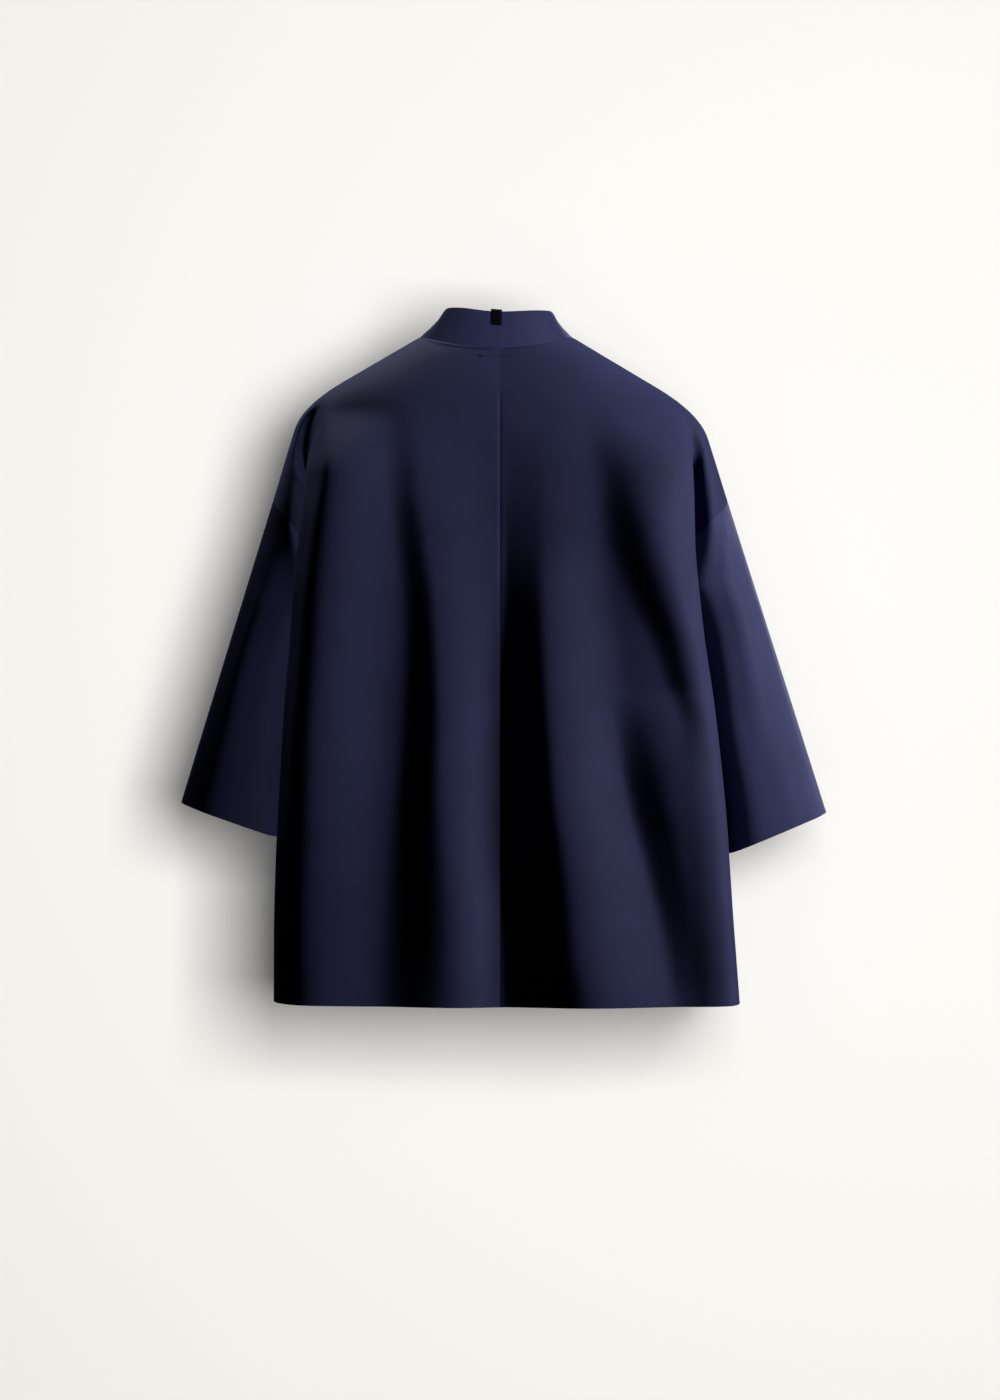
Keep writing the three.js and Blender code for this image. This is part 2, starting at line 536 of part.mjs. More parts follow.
/** The collar band's seam and free edge, from the centre back round the neck and down the front to the hem. */
function bandEdges(side) {
  const seam = [];
  const free = [];
  for (const share of [...NECK_STEPS].reverse()) {
    const z = NECK_Z * share ** NECK_CURVE;
    const [x, y] = backStart(side, z);
    seam.push(new THREE.Vector3(side.sign * x, y, z));
    const reach = side.collarCorner * Math.min(1, share * BAND.spread) ** BAND.ease;
    const dip = BAND.cornerDip * step(BAND.dipStart, 1, share);
    const top = mix(BAND.backZ, side.collarTop, step(0, BAND.level, share)) - dip;
    const back = BAND.backY + BAND.follow * y * share ** BAND.settle;
    free.push(new THREE.Vector3(side.sign * reach, back, top));
  }
  for (const z of ALL_ROWS.slice(1)) {
    const [x, y] = frontStart(side, z);
    seam.push(new THREE.Vector3(side.sign * x, y, hung(side, z, 1)));
    const widen = mix(1, side.neck / RIGHT.neck, step(-60, NECK_Z, z) * BAND.settle);
    free.push(new THREE.Vector3(
      side.sign * column(FRONT_EDGE, "freeX", z) * widen,
      column(FRONT_EDGE, "freeY", z),
      hung(side, column(FRONT_EDGE, "freeZ", z), 1),
    ));
  }
  return { seam, free };
}

/** Half of the collar band, sewn to the back neck and the front edge. */
function collarBand(side) {
  const sheet = new Sheet(`collar_${side.name}`, BAND_CLOTH, "#2a2e52");
  const { seam, free } = bandEdges(side);
  const rows = seam.map((p, i) => {
    const row = [];
    for (let j = 0; j <= BAND_COLUMNS; j++) row.push(p.clone().lerp(free[i], j / BAND_COLUMNS));
    return row;
  });
  return sheet.grid(rows, side.sign < 0);
}

/** The small dark tape folded over the collar's top edge at the centre back. */
function neckTab() {
  const near = TAB.clear;
  const far = TAB.clear + TAB.wall;
  const thick = BAND_CLOTH;
  // Round the tape's edge: distance out of the collar's outer face, and distance down from its top edge.
  const profile = [
    [near, TAB.drop], [near, -near], [-thick - near, -near], [-thick - near, TAB.drop],
    [-thick - far, TAB.drop], [-thick - far, -far], [far, -far], [far, TAB.drop],
  ];
  const stations = [TAB.x - TAB.width / 2, 0, TAB.x + TAB.width / 2];
  const count = profile.length;
  const positions = [];
  for (const x of stations) {
    const { seam, free } = bandEdges(x < 0 ? LEFT : RIGHT);
    const foot = seam[0].clone().lerp(seam[1], x / seam[1].x);
    const top = free[0].clone().lerp(free[1], x / free[1].x);
    const down = foot.clone().sub(top).setX(0).normalize();
    for (const [out, drop] of profile) {
      positions.push(x, top.y + down.z * out + down.y * drop, top.z - down.y * out + down.z * drop);
    }
  }
  const last = (stations.length - 1) * count;
  const index = [];
  for (const [a, b, c] of [[0, 1, 6], [0, 6, 7], [1, 2, 5], [1, 5, 6], [2, 3, 4], [2, 4, 5]]) {
    index.push(a, c, b, a + last, b + last, c + last);
  }
  for (let k = 0; k < last; k += count) {
    for (let i = 0; i < count; i++) {
      const [a, b] = [k + i, k + ((i + 1) % count)];
      index.push(a, b, a + count, b, b + count, a + count);
    }
  }
  return meshOf("neck_tab", positions, index, "#0c0e1c");
}

const jacket = new THREE.Group();
const sheets = [RIGHT, LEFT].flatMap((side) => [
  bodyPanel(side, "back"), bodyPanel(side, "front"), sleeve(side), collarBand(side),
]);
const seams = sharedSeams(sheets);
jacket.add(...sheets.map((sheet) => wallOf(sheet, seams)), neckTab());

export default jacket;
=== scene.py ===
"""A short haori jacket seen from behind, hollow and filled out as when worn, with its arms down.

Sizes are in millimetres until a mesh is made. +Z is up, +Y is the way the wearer faces and +X is the wearer's right
hand. The origin is on the underside of the back neck seam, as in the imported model.
"""

from __future__ import annotations

import logging
import math
from dataclasses import dataclass, field
from enum import Enum
from itertools import accumulate
from typing import Sequence

import bpy
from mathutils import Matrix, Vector

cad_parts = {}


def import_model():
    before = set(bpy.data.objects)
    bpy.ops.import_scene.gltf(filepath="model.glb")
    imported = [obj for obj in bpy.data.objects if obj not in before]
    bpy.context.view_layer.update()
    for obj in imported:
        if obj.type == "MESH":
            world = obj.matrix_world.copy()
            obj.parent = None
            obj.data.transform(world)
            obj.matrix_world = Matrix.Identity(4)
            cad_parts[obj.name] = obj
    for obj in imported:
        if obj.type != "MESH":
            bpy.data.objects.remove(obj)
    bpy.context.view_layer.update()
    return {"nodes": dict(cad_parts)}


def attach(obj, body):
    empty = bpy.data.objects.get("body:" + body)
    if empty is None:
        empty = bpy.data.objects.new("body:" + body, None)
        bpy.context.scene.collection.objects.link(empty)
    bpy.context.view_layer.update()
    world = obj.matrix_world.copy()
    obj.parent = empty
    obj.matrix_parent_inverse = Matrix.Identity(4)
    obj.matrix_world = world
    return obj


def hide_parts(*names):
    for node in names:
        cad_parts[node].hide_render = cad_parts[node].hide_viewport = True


LOG = logging.getLogger("haori")
MM = 0.001


# Small maths


def clamp(value: float, low: float, high: float) -> float:
    """The value, kept between low and high."""
    return min(high, max(low, value))


def mix(a: float, b: float, share: float) -> float:
    """The value that lies share of the way from a to b."""
    return a + (b - a) * share


def step(a: float, b: float, value: float) -> float:
    """A smooth step from 0 at edge a to 1 at edge b."""
    t = clamp((value - a) / (b - a), 0.0, 1.0)
    return t * t * (3 - 2 * t)


def bell(distance: float, width: float) -> float:
    """A soft hump of height 1 at distance 0 that falls to nothing at width."""
    share = abs(distance) / width
    return 0.0 if share >= 1 else (1 + math.cos(math.pi * share)) / 2


def srgb(code: str) -> tuple[float, float, float, float]:
    """A colour written as an sRGB hex value, as the linear colour that a shader takes.

    Args:
        code: Six hex digits after a #.

    Returns:
        Red, green, blue and alpha.
    """
    parts = [int(code[i : i + 2], 16) / 255 for i in (1, 3, 5)]
    red, green, blue = (c / 12.92 if c <= 0.04045 else ((c + 0.055) / 1.055) ** 2.4 for c in parts)
    return red, green, blue, 1.0


# The cut and the form it hangs in


class Face(Enum):
    """The two faces of the body."""

    BACK = "back"
    FRONT = "front"


class Table:
    """Values by height, read on a smooth curve through the rows."""

    def __init__(self, heights: Sequence[float], **columns: Sequence[float]) -> None:
        """Keeps the rows.

        Args:
            heights: Height of each row, from the top down.
            columns: The values of each column, one for each height.
        """
        self.heights = heights
        self.columns = columns
        self._read: dict[tuple[str, float], float] = {}

    def at(self, name: str, z: float) -> float:
        """The value of a column at a height.

        Args:
            name: The column.
            z: The height.

        Returns:
            The value on the curve, held level beyond the first and last rows.
        """
        known = self._read.get((name, z))
        if known is None:
            known = self._read[name, z] = self._curve(self.columns[name], z)
        return known

    def _curve(self, values: Sequence[float], z: float) -> float:
        """Reads a column on a cubic whose slopes come from the neighbouring rows.

        Args:
            values: The column's values.
            z: The height.

        Returns:
            The value at z.
        """
        heights, last = self.heights, len(self.heights) - 1
        if z >= heights[0]:
            return values[0]
        if z <= heights[last]:
            return values[last]
        i = next(k for k in range(last) if z >= heights[k + 1])

        def slope(k: int) -> float:
            """Slope at row k."""
            a, b = max(0, k - 1), min(last, k + 1)
            return (values[b] - values[a]) / (heights[b] - heights[a])

        span = heights[i + 1] - heights[i]
        t = (z - heights[i]) / span
        t2, t3 = t * t, t * t * t
        return (
            (2 * t3 - 3 * t2 + 1) * values[i]
            + (t3 - 2 * t2 + t) * span * slope(i)
            + (3 * t2 - 2 * t3) * values[i + 1]
            + (t3 - t2) * span * slope(i + 1)
        )


class SectionCurve:
    """A smooth level curve through the points of one section, with two more points that steer its ends."""

    TINY = 1e-4  # a knot spacing below this is as good as none

    def __init__(self, points: Sequence[tuple[float, float]]) -> None:
        """Works out the curve's pieces.

        Args:
            points: The steering point, the section's points and the other steering point.
        """
        self.pieces: list[tuple[tuple[float, ...], tuple[float, ...]]] = []
        for k in range(1, len(points) - 2):
            near = points[k - 1 : k + 3]
            knots = [math.dist(near[j], near[j + 1]) ** 0.5 for j in range(3)]
            middle = knots[1] if knots[1] >= self.TINY else 1.0
            first = knots[0] if knots[0] >= self.TINY else middle
            third = knots[2] if knots[2] >= self.TINY else middle
            self.pieces.append(tuple(self._piece([p[axis] for p in near], first, middle, third) for axis in (0, 1)))

    @staticmethod
    def _piece(v: list[float], d0: float, d1: float, d2: float) -> tuple[float, ...]:
        """Works out one coordinate's cubic between the second and third of four values.

        Args:
            v: The four values.
            d0: Knot spacing of the first two.
            d1: That of the second and third.
            d2: That of the last two.

        Returns:
            Its factors, the constant first.
        """
        t1 = ((v[1] - v[0]) / d0 - (v[2] - v[0]) / (d0 + d1) + (v[2] - v[1]) / d1) * d1
        t2 = ((v[2] - v[1]) / d1 - (v[3] - v[1]) / (d1 + d2) + (v[3] - v[2]) / d2) * d1
        return v[1], t1, -3 * v[1] + 3 * v[2] - 2 * t1 - t2, 2 * v[1] - 2 * v[2] + t1 + t2

    def at(self, s: float) -> tuple[float, float]:
        """Reads the curve.

        Args:
            s: The place, which counts the section's points from 0.

        Returns:
            The point there.
        """
        k = min(len(self.pieces) - 1, max(0, int(s)))
        t = s - k
        (ax, bx, cx, dx), (ay, by, cy, dy) = self.pieces[k]
        return ax + t * (bx + t * (cx + t * dx)), ay + t * (by + t * (cy + t * dy))


@dataclass(frozen=True)
class Side:
    """What differs between the wearer's right and left.

    The runs are sideways travel for each millimetre down.
    """

    name: str
    sign: int
    neck: float
    shoulder_run: float
    arm_run: float
    cuff_z: float
    cuff_rise: float
    collar_corner: float
    collar_top: float
    hem_lift: float
    sleeve_slant: float  # how much the back of the sleeve faces outwards


# Width and length of each piece laid flat, in metres, and its area in square metres, as far as it shows
RIGHT_CUT = {
    "back": ((0.37, 0.75), 0.213),
    "front": ((0.28, 0.72), 0.154),
    "sleeve": ((0.39, 0.33), 0.103),
    "collar": ((0.04, 0.82), 0.032),
}
LEFT_CUT = {
    "back": ((0.34, 0.75), 0.204),
    "front": ((0.26, 0.71), 0.152),
    "sleeve": ((0.38, 0.32), 0.095),
    "collar": ((0.04, 0.82), 0.032),
}

RIGHT = Side("right", 1, 73, 1.667, 0.318, -460, 0.41, 53, 38, 4, 0.2)
LEFT = Side("left", -1, 81, 1.71, 0.305, -450, 0.36, 55, 41, 9, -0.03)


class Flank(Enum):
    """How a fold's low flank rises from the cloth beside it."""

    SOFT = "soft"
    STRAIGHT = "straight out of a crease, with a rounded top"
    EASED = "quickly at its foot, then ever more slowly"


@dataclass(frozen=True)
class Fold:
    """A fold down the cloth: its crest, depth and the widths of its two flanks at several heights.

    The low flank is the one at smaller x. A flank given as one number is as wide at every height, and one far wider
    than the panel leaves the cloth beyond the crest level. A negative depth makes a trough.
    """

    ROUNDED = 0.3  # share of a straight flank that its rounded top takes
    EASE = (3, 1.3)

    heights: tuple[float, ...]
    crest: tuple[float, ...]
    depth: tuple[float, ...]
    low: tuple[float, ...] | float
    high: tuple[float, ...] | float
    low_flank: Flank = Flank.SOFT

    def shape_at(self, z: float) -> tuple[float, float, float, float]:
        """Reads the fold at a height; there is none above a first row whose depth is 0.

        Args:
            z: The height.

        Returns:
            Its crest, depth, low flank and high flank.
        """
        low, high = (w if isinstance(w, tuple) else (w,) * len(self.heights) for w in (self.low, self.high))
        table = Table(self.heights, crest=self.crest, depth=self.depth, low=low, high=high)
        crest, depth, low, high = (table.at(name, z) for name in ("crest", "depth", "low", "high"))
        outside = z >= self.heights[0] and self.depth[0] == 0
        return crest, 0.0 if outside else depth, low, high

    def height(self, x: float, at: tuple[float, float, float, float]) -> float:
        """How far it stands out at x.

        Args:
            x: Distance from the centre back.
            at: What shape_at gave for the height.

        Returns:
            Millimetres out of the cloth.
        """
        crest, depth, low, high = at
        share = abs(x - crest) / (low if x < crest else high)
        if share >= 1:
            return 0.0
        if self.low_flank is Flank.SOFT or x >= crest:
            return depth * (1 + math.cos(math.pi * share)) / 2
        if self.low_flank is Flank.EASED:
            return depth * (1 - share ** self.EASE[0]) ** self.EASE[1]
        top = self.ROUNDED
        drop = share * share / (2 * top) if share < top else share - top / 2
        return depth * (1 - drop / (1 - top / 2))


# The body's sections, of the wearer's right side but for "left", by height
BODY = Table(
    (-100, -150, -200, -235, -290, -350, -450, -560, -647),
    back=(33, 40, 42, 43, 44, 46, 51, 56, 60),
    right=(187, 190, 192, 195, 201, 209, 219, 226, 232),
    left=(187, 194, 200, 204, 207, 211, 216, 219, 219),
    ridge_y=(-14, -20, -22, -23, -24, -26, -31, -36, -40),
    flank_in=(-4, 1, 11, 21, 15, 9, 5, 3, 2),
    flank_y=(8, 6, 8, 14, 22, 30, 34, 36, 38),
    seam_in=(-9, 5, 22, 33, 23, 14, 11, 9, 8),
    back_seam=(18, 24, 44, 65, 66, 67, 68, 69, 70),
    front_seam=(99, 98, 84, 65, 66, 67, 68, 69, 70),
    corner_x=(180, 184, 184, 184, 190, 198, 208, 217, 224),
    corner_y=(118, 128, 134, 138, 140, 142, 146, 150, 152),
    front_flank_x=(189, 188, 181, 175, 184, 198, 211, 221, 228),
    front_flank_y=(108, 112, 106, 102, 102, 104, 106, 108, 110),
)
# How far inside the outline the arm's back lies, and the depths of its back and front
ARM = Table(
    (-100, -150, -200, -235, -350, -500),
    back_in=(7, 19, 33, 43, 46, 55),
    back_y=(26, 14, 12, 13, 10, 8),
    front_y=(92, 108, 120, 127, 130, 136),
)
# How far inwards the back of each sleeve leans
SLEEVE_SKEW = Table((-150, -208, -288, -368, -450), right=(12, 16, 4, -8, -6), left=(0, 0, 2, 0, 0))
# The seam between front and collar band, and the band's free edge
FRONT_EDGE = Table(
    (14, 5, -8, -35, -90, -160, -235, -350, -647),
    x=(73, 74, 73, 69, 61, 54, 51, 50, 54),
    y=(62, 86, 103, 124, 152, 172, 184, 188, 194),
    free_x=(53, 49, 44, 37, 25, 16, 12, 11, 15),
    free_y=(74, 99, 115, 133, 158, 176, 187, 191, 197),
    free_z=(31, 14, -5, -34, -90, -160, -235, -350, -647),
)
BACK_FOLDS = (
    # the deep crease between the left shoulder blade and the arm, beyond which the cloth stays low
    Fold(
        (-46, -62, -90, -130, -170, -210, -250, -290, -330, -370, -410, -450, -490),
        (-198, -199, -199, -203, -208, -213, -217, -219, -222, -224, -226, -228, -228),
        (0, -18, -23, -26, -24, -24, -23, -22, -20, -18, -18, -16, 0),
        200,
        (28, 30, 30, 34, 31, 32, 31, 30, 28, 25, 25, 25, 23),
    ),
    # along the left edge, where the back turns sharply
    Fold(
        (-60, -90, -130, -170, -210, -250, -330, -410, -490, -570, -647),
        (-166, -169, -172, -177, -183, -188, -194, -201, -207, -212, -212),
        (0, 4, 6, 6, 6, 6, 6, 6, 3, 1, 0),
        (14, 14, 14, 14, 14, 14, 14, 14, 12, 8, 8),
        (70, 74, 80, 86, 90, 90, 90, 90, 90, 90, 90),
    ),
    # left of the centre back, with a narrow dark trough on its outer side
    Fold(
        (-50, -100, -150, -250, -350, -450, -570, -647),
        (-84, -80, -76, -62, -57, -55, -45, -46),
        (0, 3, 4.5, 7, 11, 13.5, 17, 15),
        (30, 32, 34, 34, 38, 50, 72, 80),
        (60, 66, 72, 76, 76, 76, 70, 70),
    ),
    # right of the centre back, rising straight out of a crease beside the seam
    Fold(
        (-70, -100, -150, -200, -250, -300, -350, -400, -450, -500, -560, -610, -647),
        (44, 46, 48, 47, 46, 47, 50, 54, 58, 67, 76, 82, 90),
        (0, 2, 4, 7, 12, 16, 19, 22, 25, 27, 28, 28, 25),
        (38, 40, 42, 41, 40, 41, 44, 48, 52, 61, 70, 76, 84),
        (58, 60, 62, 64, 68, 76, 80, 86, 94, 100, 106, 108, 106),
        Flank.STRAIGHT,
    ),
    # slanting from the right shoulder blade to the side
    Fold(
        (-55, -88, -128, -168, -208, -248, -288, -328, -368, -410),
        (122, 126, 137, 147, 157, 172, 187, 196, 206, 210),
        (0, 3, 6, 8.5, 9.5, 9.5, 10, 10, 9, 0),
        (40, 44, 48, 50, 50, 48, 42, 38, 34, 34),
        (40, 46, 50, 46, 42, 38, 32, 28, 26, 26),
    ),
    # and the one below it, slanting to the hem's right corner
    Fold(
        (-340, -368, -408, -448, -488, -528, -568, -608, -647),
        (164, 174, 188, 197, 207, 217, 226, 235, 241),
        (0, 6, 12, 14, 14, 14, 13, 11, 8),
        (54, 60, 70, 70, 70, 70, 70, 72, 72),
        200,
        Flank.EASED,
    ),
    # along the right edge below the sleeve
    Fold(
        (-370, -410, -450, -490, -530, -570, -610, -647),
        (208, 213, 218, 222, 226, 229, 231, 233),
        (0, 4, 5, 6, 7, 7, 7, 6),
        (40, 42, 44, 44, 44, 44, 44, 44),
        12,
    ),
)
FRONT_FOLDS = (
    Fold((-120, -210, -350, -647), (108, 109, 112, 120), (0, 4, 7, 12), (34, 36, 40, 44), (34, 36, 40, 46)),
    Fold((-180, -270, -350, -647), (167, 170, 174, 188), (0, 2, 4, 8), (24, 26, 28, 32), (20, 23, 26, 30)),
    Fold((-130, -220, -350, -647), (-98, -101, -106, -112), (0, 3, 6, 11), (34, 37, 40, 48), (34, 36, 38, 42)),
    Fold((-200, -290, -350, -647), (-162, -164, -166, -176), (0, 3, 5, 7), (24, 25, 26, 30), (24, 26, 28, 32)),
)


@dataclass
class JacketForm:
    """The shape of the worn jacket's outer face, which every cloth piece lies on."""

    neck_z: float = 14
    neck_y: float = 62
    neck_curve: float = 2.2
    ridge_shoulder: float = 58
    ridge_arm: float = 66
    softness: float = 34
    arm_x: float = 214.5
    arm_z: float = -108
    seam_top: float = -146
    underarm: float = -235
    hem: float = -647
    blade_depth: float = 35.5
    blade_drop: float = 135.7
    blade_ease: float = 0.9
    nape_slope: float = 0.6
    valley_start: float = -60
    valley_full: float = -125
    armhole_dip: float = 3
    armhole_spread: float = 0.7
    hem_lift_from: float = -300
    sleeve_clear: float = 9  # kept free between the sleeve and the body
    clear_over: float = 0.06  # share of the sleeve over which that gap opens
    sleeve_power: float = 2.35
    sleeve_back: float = 2.8  # how square the back of the sleeve is
    seam_drift: float = 0.32  # share of the sleeve over which it leaves the armhole's own shape
    arm_room: float = 16  # between the body and the inside of the sleeve, below the underarm
    room_over: float = 18
    sleeve_sway: float = 5  # the sleeve hangs this much further forward lower down
    sway_full: float = -300
    band_reach: float = 1.13
    band_reach_power: float = 0.95
    band_top: float = 36  # height of the collar band's free edge at the centre back
    band_top_full: float = 0.8
    band_corner_drop: float = 4
    band_corner_from: float = 0.82
    band_lean: float = 6  # depth of its free edge there
    band_follow: float = 0.92
    band_follow_power: float = 0.4
    band_widen: float = 0.4
    # places on the section from which there are no folds, and full ones
    fold_end: dict[str, tuple[float, float]] = field(
        default_factory=lambda: {"right": (3.5, 2.7), "left": (4.3, 3.1)}
    )
    # how much further out they reach at the shoulder, and between which heights that comes in
    fold_shift: dict[str, float] = field(default_factory=lambda: {"right": 0.0, "left": 1.6})
    shift_rows: tuple[float, float] = (-165, -110)
    crease_begins: tuple[float, float] = (-50, -100)  # the crease beside the arm, which ends at the underarm
    crease_ends: tuple[float, float] = (-255, -200)
    crease_depth: dict[str, float] = field(default_factory=lambda: {"right": 8.0, "left": 2.0})
    crease_place: float = 4.9
    crease_width: float = 0.85
    sections: dict[tuple[str, Face, float], SectionCurve] = field(default_factory=dict)
    relief_rows: dict[tuple[Face, float], list[tuple[float, float, float, float]]] = field(default_factory=dict)

    RIDGE_PLACE = 3
    SEAM_PLACE = 5
    OUTER_PLACE = 7
    BACK_INNER = (0.45, 0.5)  # share of the way to the ridge, and millimetres behind the centre back
    BACK_OUTER = (0.9, 0.16)  # the same share, and that of the ridge's own depth
    FRONT_INNER = (0.38, 3)
    FRONT_OUTER = (0.76, 0.3)
    SEARCH_STEPS = 14
    CUFF_STEPS = 4
    OVAL_ANGLES = (0, 20, 38, 54, 61, 68, 78, 90)
    OVAL_POWER = 2.3

    def outline(self, side: Side, z: float) -> float:
        """Works out the outline: the shoulder slope and the arm slope, softly joined.

        Args:
            side: Which half.
            z: The height.

        Returns:
            The half-width there.
        """
        shoulder = side.neck + side.shoulder_run * (self.neck_z - z)
        arm = self.arm_x + side.arm_run * (self.arm_z - z)
        share = clamp(0.5 + 0.5 * (arm - shoulder) / self.softness, 0, 1)
        return mix(arm, shoulder, share) - self.softness * share * (1 - share)

    def ridge_y(self, z: float) -> float:
        """Depth of the shoulder ridge and of the arm's outer edge at height z."""
        hanging = mix(self.ridge_shoulder, self.ridge_arm, step(self.valley_start, self.underarm, z))
        return hanging + (self.neck_y - self.ridge_shoulder) * step(self.valley_start, self.neck_z, z)

    def side_scale(self, side: Side, z: float) -> float:
        """How wide this side is, compared with the right one."""
        return BODY.at(side.name, z) / BODY.at("right", z)

    def back_start(self, side: Side, z: float) -> tuple[float, float]:
        """Finds where a back row starts: the neck seam above the nape, and the centre back below it.

        Args:
            side: Which half.
            z: Height of the row.

        Returns:
            Distance from the middle, and depth.
        """
        if z <= BODY.heights[0]:
            return 0.0, -BODY.at("back", z)
        if z <= 0:
            return 0.0, self.nape_y(z)
        x = side.neck * (z / self.neck_z) ** (1 / self.neck_curve)
        return x, self.oval_y(x, self.nape_y(z), (self.outline(side, z), self.ridge_y(z)))

    def nape_y(self, z: float) -> float:
        """Works out the depth of the cloth at the centre back, carried on above the neck seam for the shoulders' sake.

        Args:
            z: The height.

        Returns:
            The depth.
        """
        if z > 0:
            return self.nape_slope * z
        share = min(1.0, -z / self.blade_drop) ** self.blade_ease
        return -self.blade_depth * math.sin(math.pi / 2 * share)

    def oval_y(self, x: float, middle_y: float, edge: tuple[float, float]) -> float:
        """Depth at x of the shoulder section that runs from the middle to its outer edge."""
        share = min(1.0, x / edge[0]) ** self.OVAL_POWER
        return mix(edge[1], middle_y, (1 - share) ** (1 / self.OVAL_POWER))

    def front_start(self, side: Side, z: float) -> tuple[float, float]:
        """Where a front row starts: the seam between the front and the collar band."""
        widen = mix(1, side.neck / RIGHT.neck, step(self.valley_start, self.neck_z, z))
        return FRONT_EDGE.at("x", z) * widen, FRONT_EDGE.at("y", z)

    def seam_y(self, face: Face, z: float) -> float:
        """Finds the side seam, or the valley beside the arm above the underarm.

        Args:
            face: Back or front.
            z: The height.

        Returns:
            Its depth.
        """
        back, front = BODY.at("back_seam", z), BODY.at("front_seam", z)
        if z < self.underarm:
            return (back + front) / 2
        return back if face is Face.BACK else front

    def _oval(
        self, start: tuple[float, float], edge: tuple[float, float], middle_y: float | None
    ) -> list[tuple[float, float]]:
        """Points of the smooth shoulder section from a row's start to its outer edge.

        Args:
            start: Where the row starts.
            edge: Where it ends.
            middle_y: Depth at the centre back, where the row starts off it on the same oval.

        Returns:
            The points.
        """
        points = []
        begun = 0.0
        if middle_y is not None:
            begun = math.asin(min(1.0, start[0] / edge[0]) ** (self.OVAL_POWER / 2))
            start = (0.0, middle_y)
        for degrees in self.OVAL_ANGLES:
            a = mix(begun, math.pi / 2, degrees / 90)
            across = math.sin(a) ** (2 / self.OVAL_POWER)
            deep = max(0.0, math.cos(a)) ** (2 / self.OVAL_POWER)
            points.append((mix(start[0], edge[0], across), mix(edge[1], start[1], deep)))
        return points

    def section_points(self, side: Side, face: Face, z: float) -> list[tuple[float, float]]:
        """Works out the eight points of a section, from the centre or front edge to the outer edge of the shoulder.

        Args:
            side: Which half.
            face: Back or front.
            z: Its height.

        Returns:
            The points: distance from the middle, and depth.
        """
        start = self.back_start(side, z) if face is Face.BACK else self.front_start(side, z)
        edge = (self.outline(side, z), self.ridge_y(z))
        oval = self._oval(start, edge, self.nape_y(z) if face is Face.BACK and z > 0 else None)
        share = step(self.valley_start, self.valley_full, z)
        if share == 0:
            return oval
        scale = self.side_scale(side, z)
        ridge = BODY.at(side.name, z)
        seam = (ridge - BODY.at("seam_in", z) * scale, self.seam_y(face, z))
        if face is Face.BACK:
            ridge_y = BODY.at("ridge_y", z)
            full = [
                start,
                (self.BACK_INNER[0] * ridge, start[1] + self.BACK_INNER[1]),
                (self.BACK_OUTER[0] * ridge, mix(start[1], ridge_y, self.BACK_OUTER[1])),
                (ridge, ridge_y),
                (ridge - BODY.at("flank_in", z) * scale, BODY.at("flank_y", z)),
                seam,
                (edge[0] - ARM.at("back_in", z), ARM.at("back_y", z)),
                edge,
            ]
        else:
            corner = (BODY.at("corner_x", z) * scale, BODY.at("corner_y", z))
            full = [
                start,
                (mix(start[0], corner[0], self.FRONT_INNER[0]), start[1] + self.FRONT_INNER[1]),
                tuple(mix(start[axis], corner[axis], self.FRONT_OUTER[axis]) for axis in (0, 1)),
                corner,
                (BODY.at("front_flank_x", z) * scale, BODY.at("front_flank_y", z)),
                seam,
                (edge[0] - ARM.at("back_in", z), ARM.at("front_y", z)),
                edge,
            ]
        return [(mix(o[0], p[0], share), mix(o[1], p[1], share)) for o, p in zip(oval, full)]

    def section(self, side: Side, face: Face, z: float) -> SectionCurve:
        """Gives the curve of a section, which is worked out once for each height.

        Args:
            side: Which half.
            face: Back or front.
            z: Its height.

        Returns:
            The curve, as far as the side seam below the underarm.
        """
        key = (side.name, face, z)
        if key not in self.sections:
            own = self.section_points(side, face, z)
            before = (2 * own[0][0] - own[1][0], own[1][1])
            if z < self.underarm:
                other = Face.FRONT if face is Face.BACK else Face.BACK
                after = self.section_points(side, other, z)[self.SEAM_PLACE - 1]
                own = own[: self.SEAM_PLACE + 1]
            else:
                before_last, last = own[self.OUTER_PLACE - 1 :]
                after = (before_last[0], 2 * last[1] - before_last[1])
            self.sections[key] = SectionCurve([before, *own, after])
        return self.sections[key]

    def relief(self, face: Face, x: float, z: float) -> float:
        """Adds up the folds.

        Args:
            face: Back or front.
            x: Distance from the middle, which is negative on the wearer's left.
            z: The height.

        Returns:
            How far they stand out of the cloth there.
        """
        folds = BACK_FOLDS if face is Face.BACK else FRONT_FOLDS
        key = (face, z)
        if key not in self.relief_rows:
            self.relief_rows[key] = [fold.shape_at(z) for fold in folds]
        return sum(fold.height(x, at) for fold, at in zip(folds, self.relief_rows[key]))

    def arm_crease(self, side: Side, z: float, u: float) -> float:
        """Works out the crease that is pressed in beside the arm.

        Args:
            side: Which half.
            z: The height.
            u: Place along the section.

        Returns:
            Its depth there.
        """
        share = step(*self.crease_begins, z) * step(*self.crease_ends, z)
        return share * self.crease_depth[side.name] * bell(u - self.crease_place, self.crease_width)

    def hung(self, side: Side, z: float, share: float) -> float:
        """Height of a body point once the hem is lifted a little towards the sides; share is 1 at the side seam."""
        return z + side.hem_lift * step(self.hem_lift_from, self.hem, z) * share * share

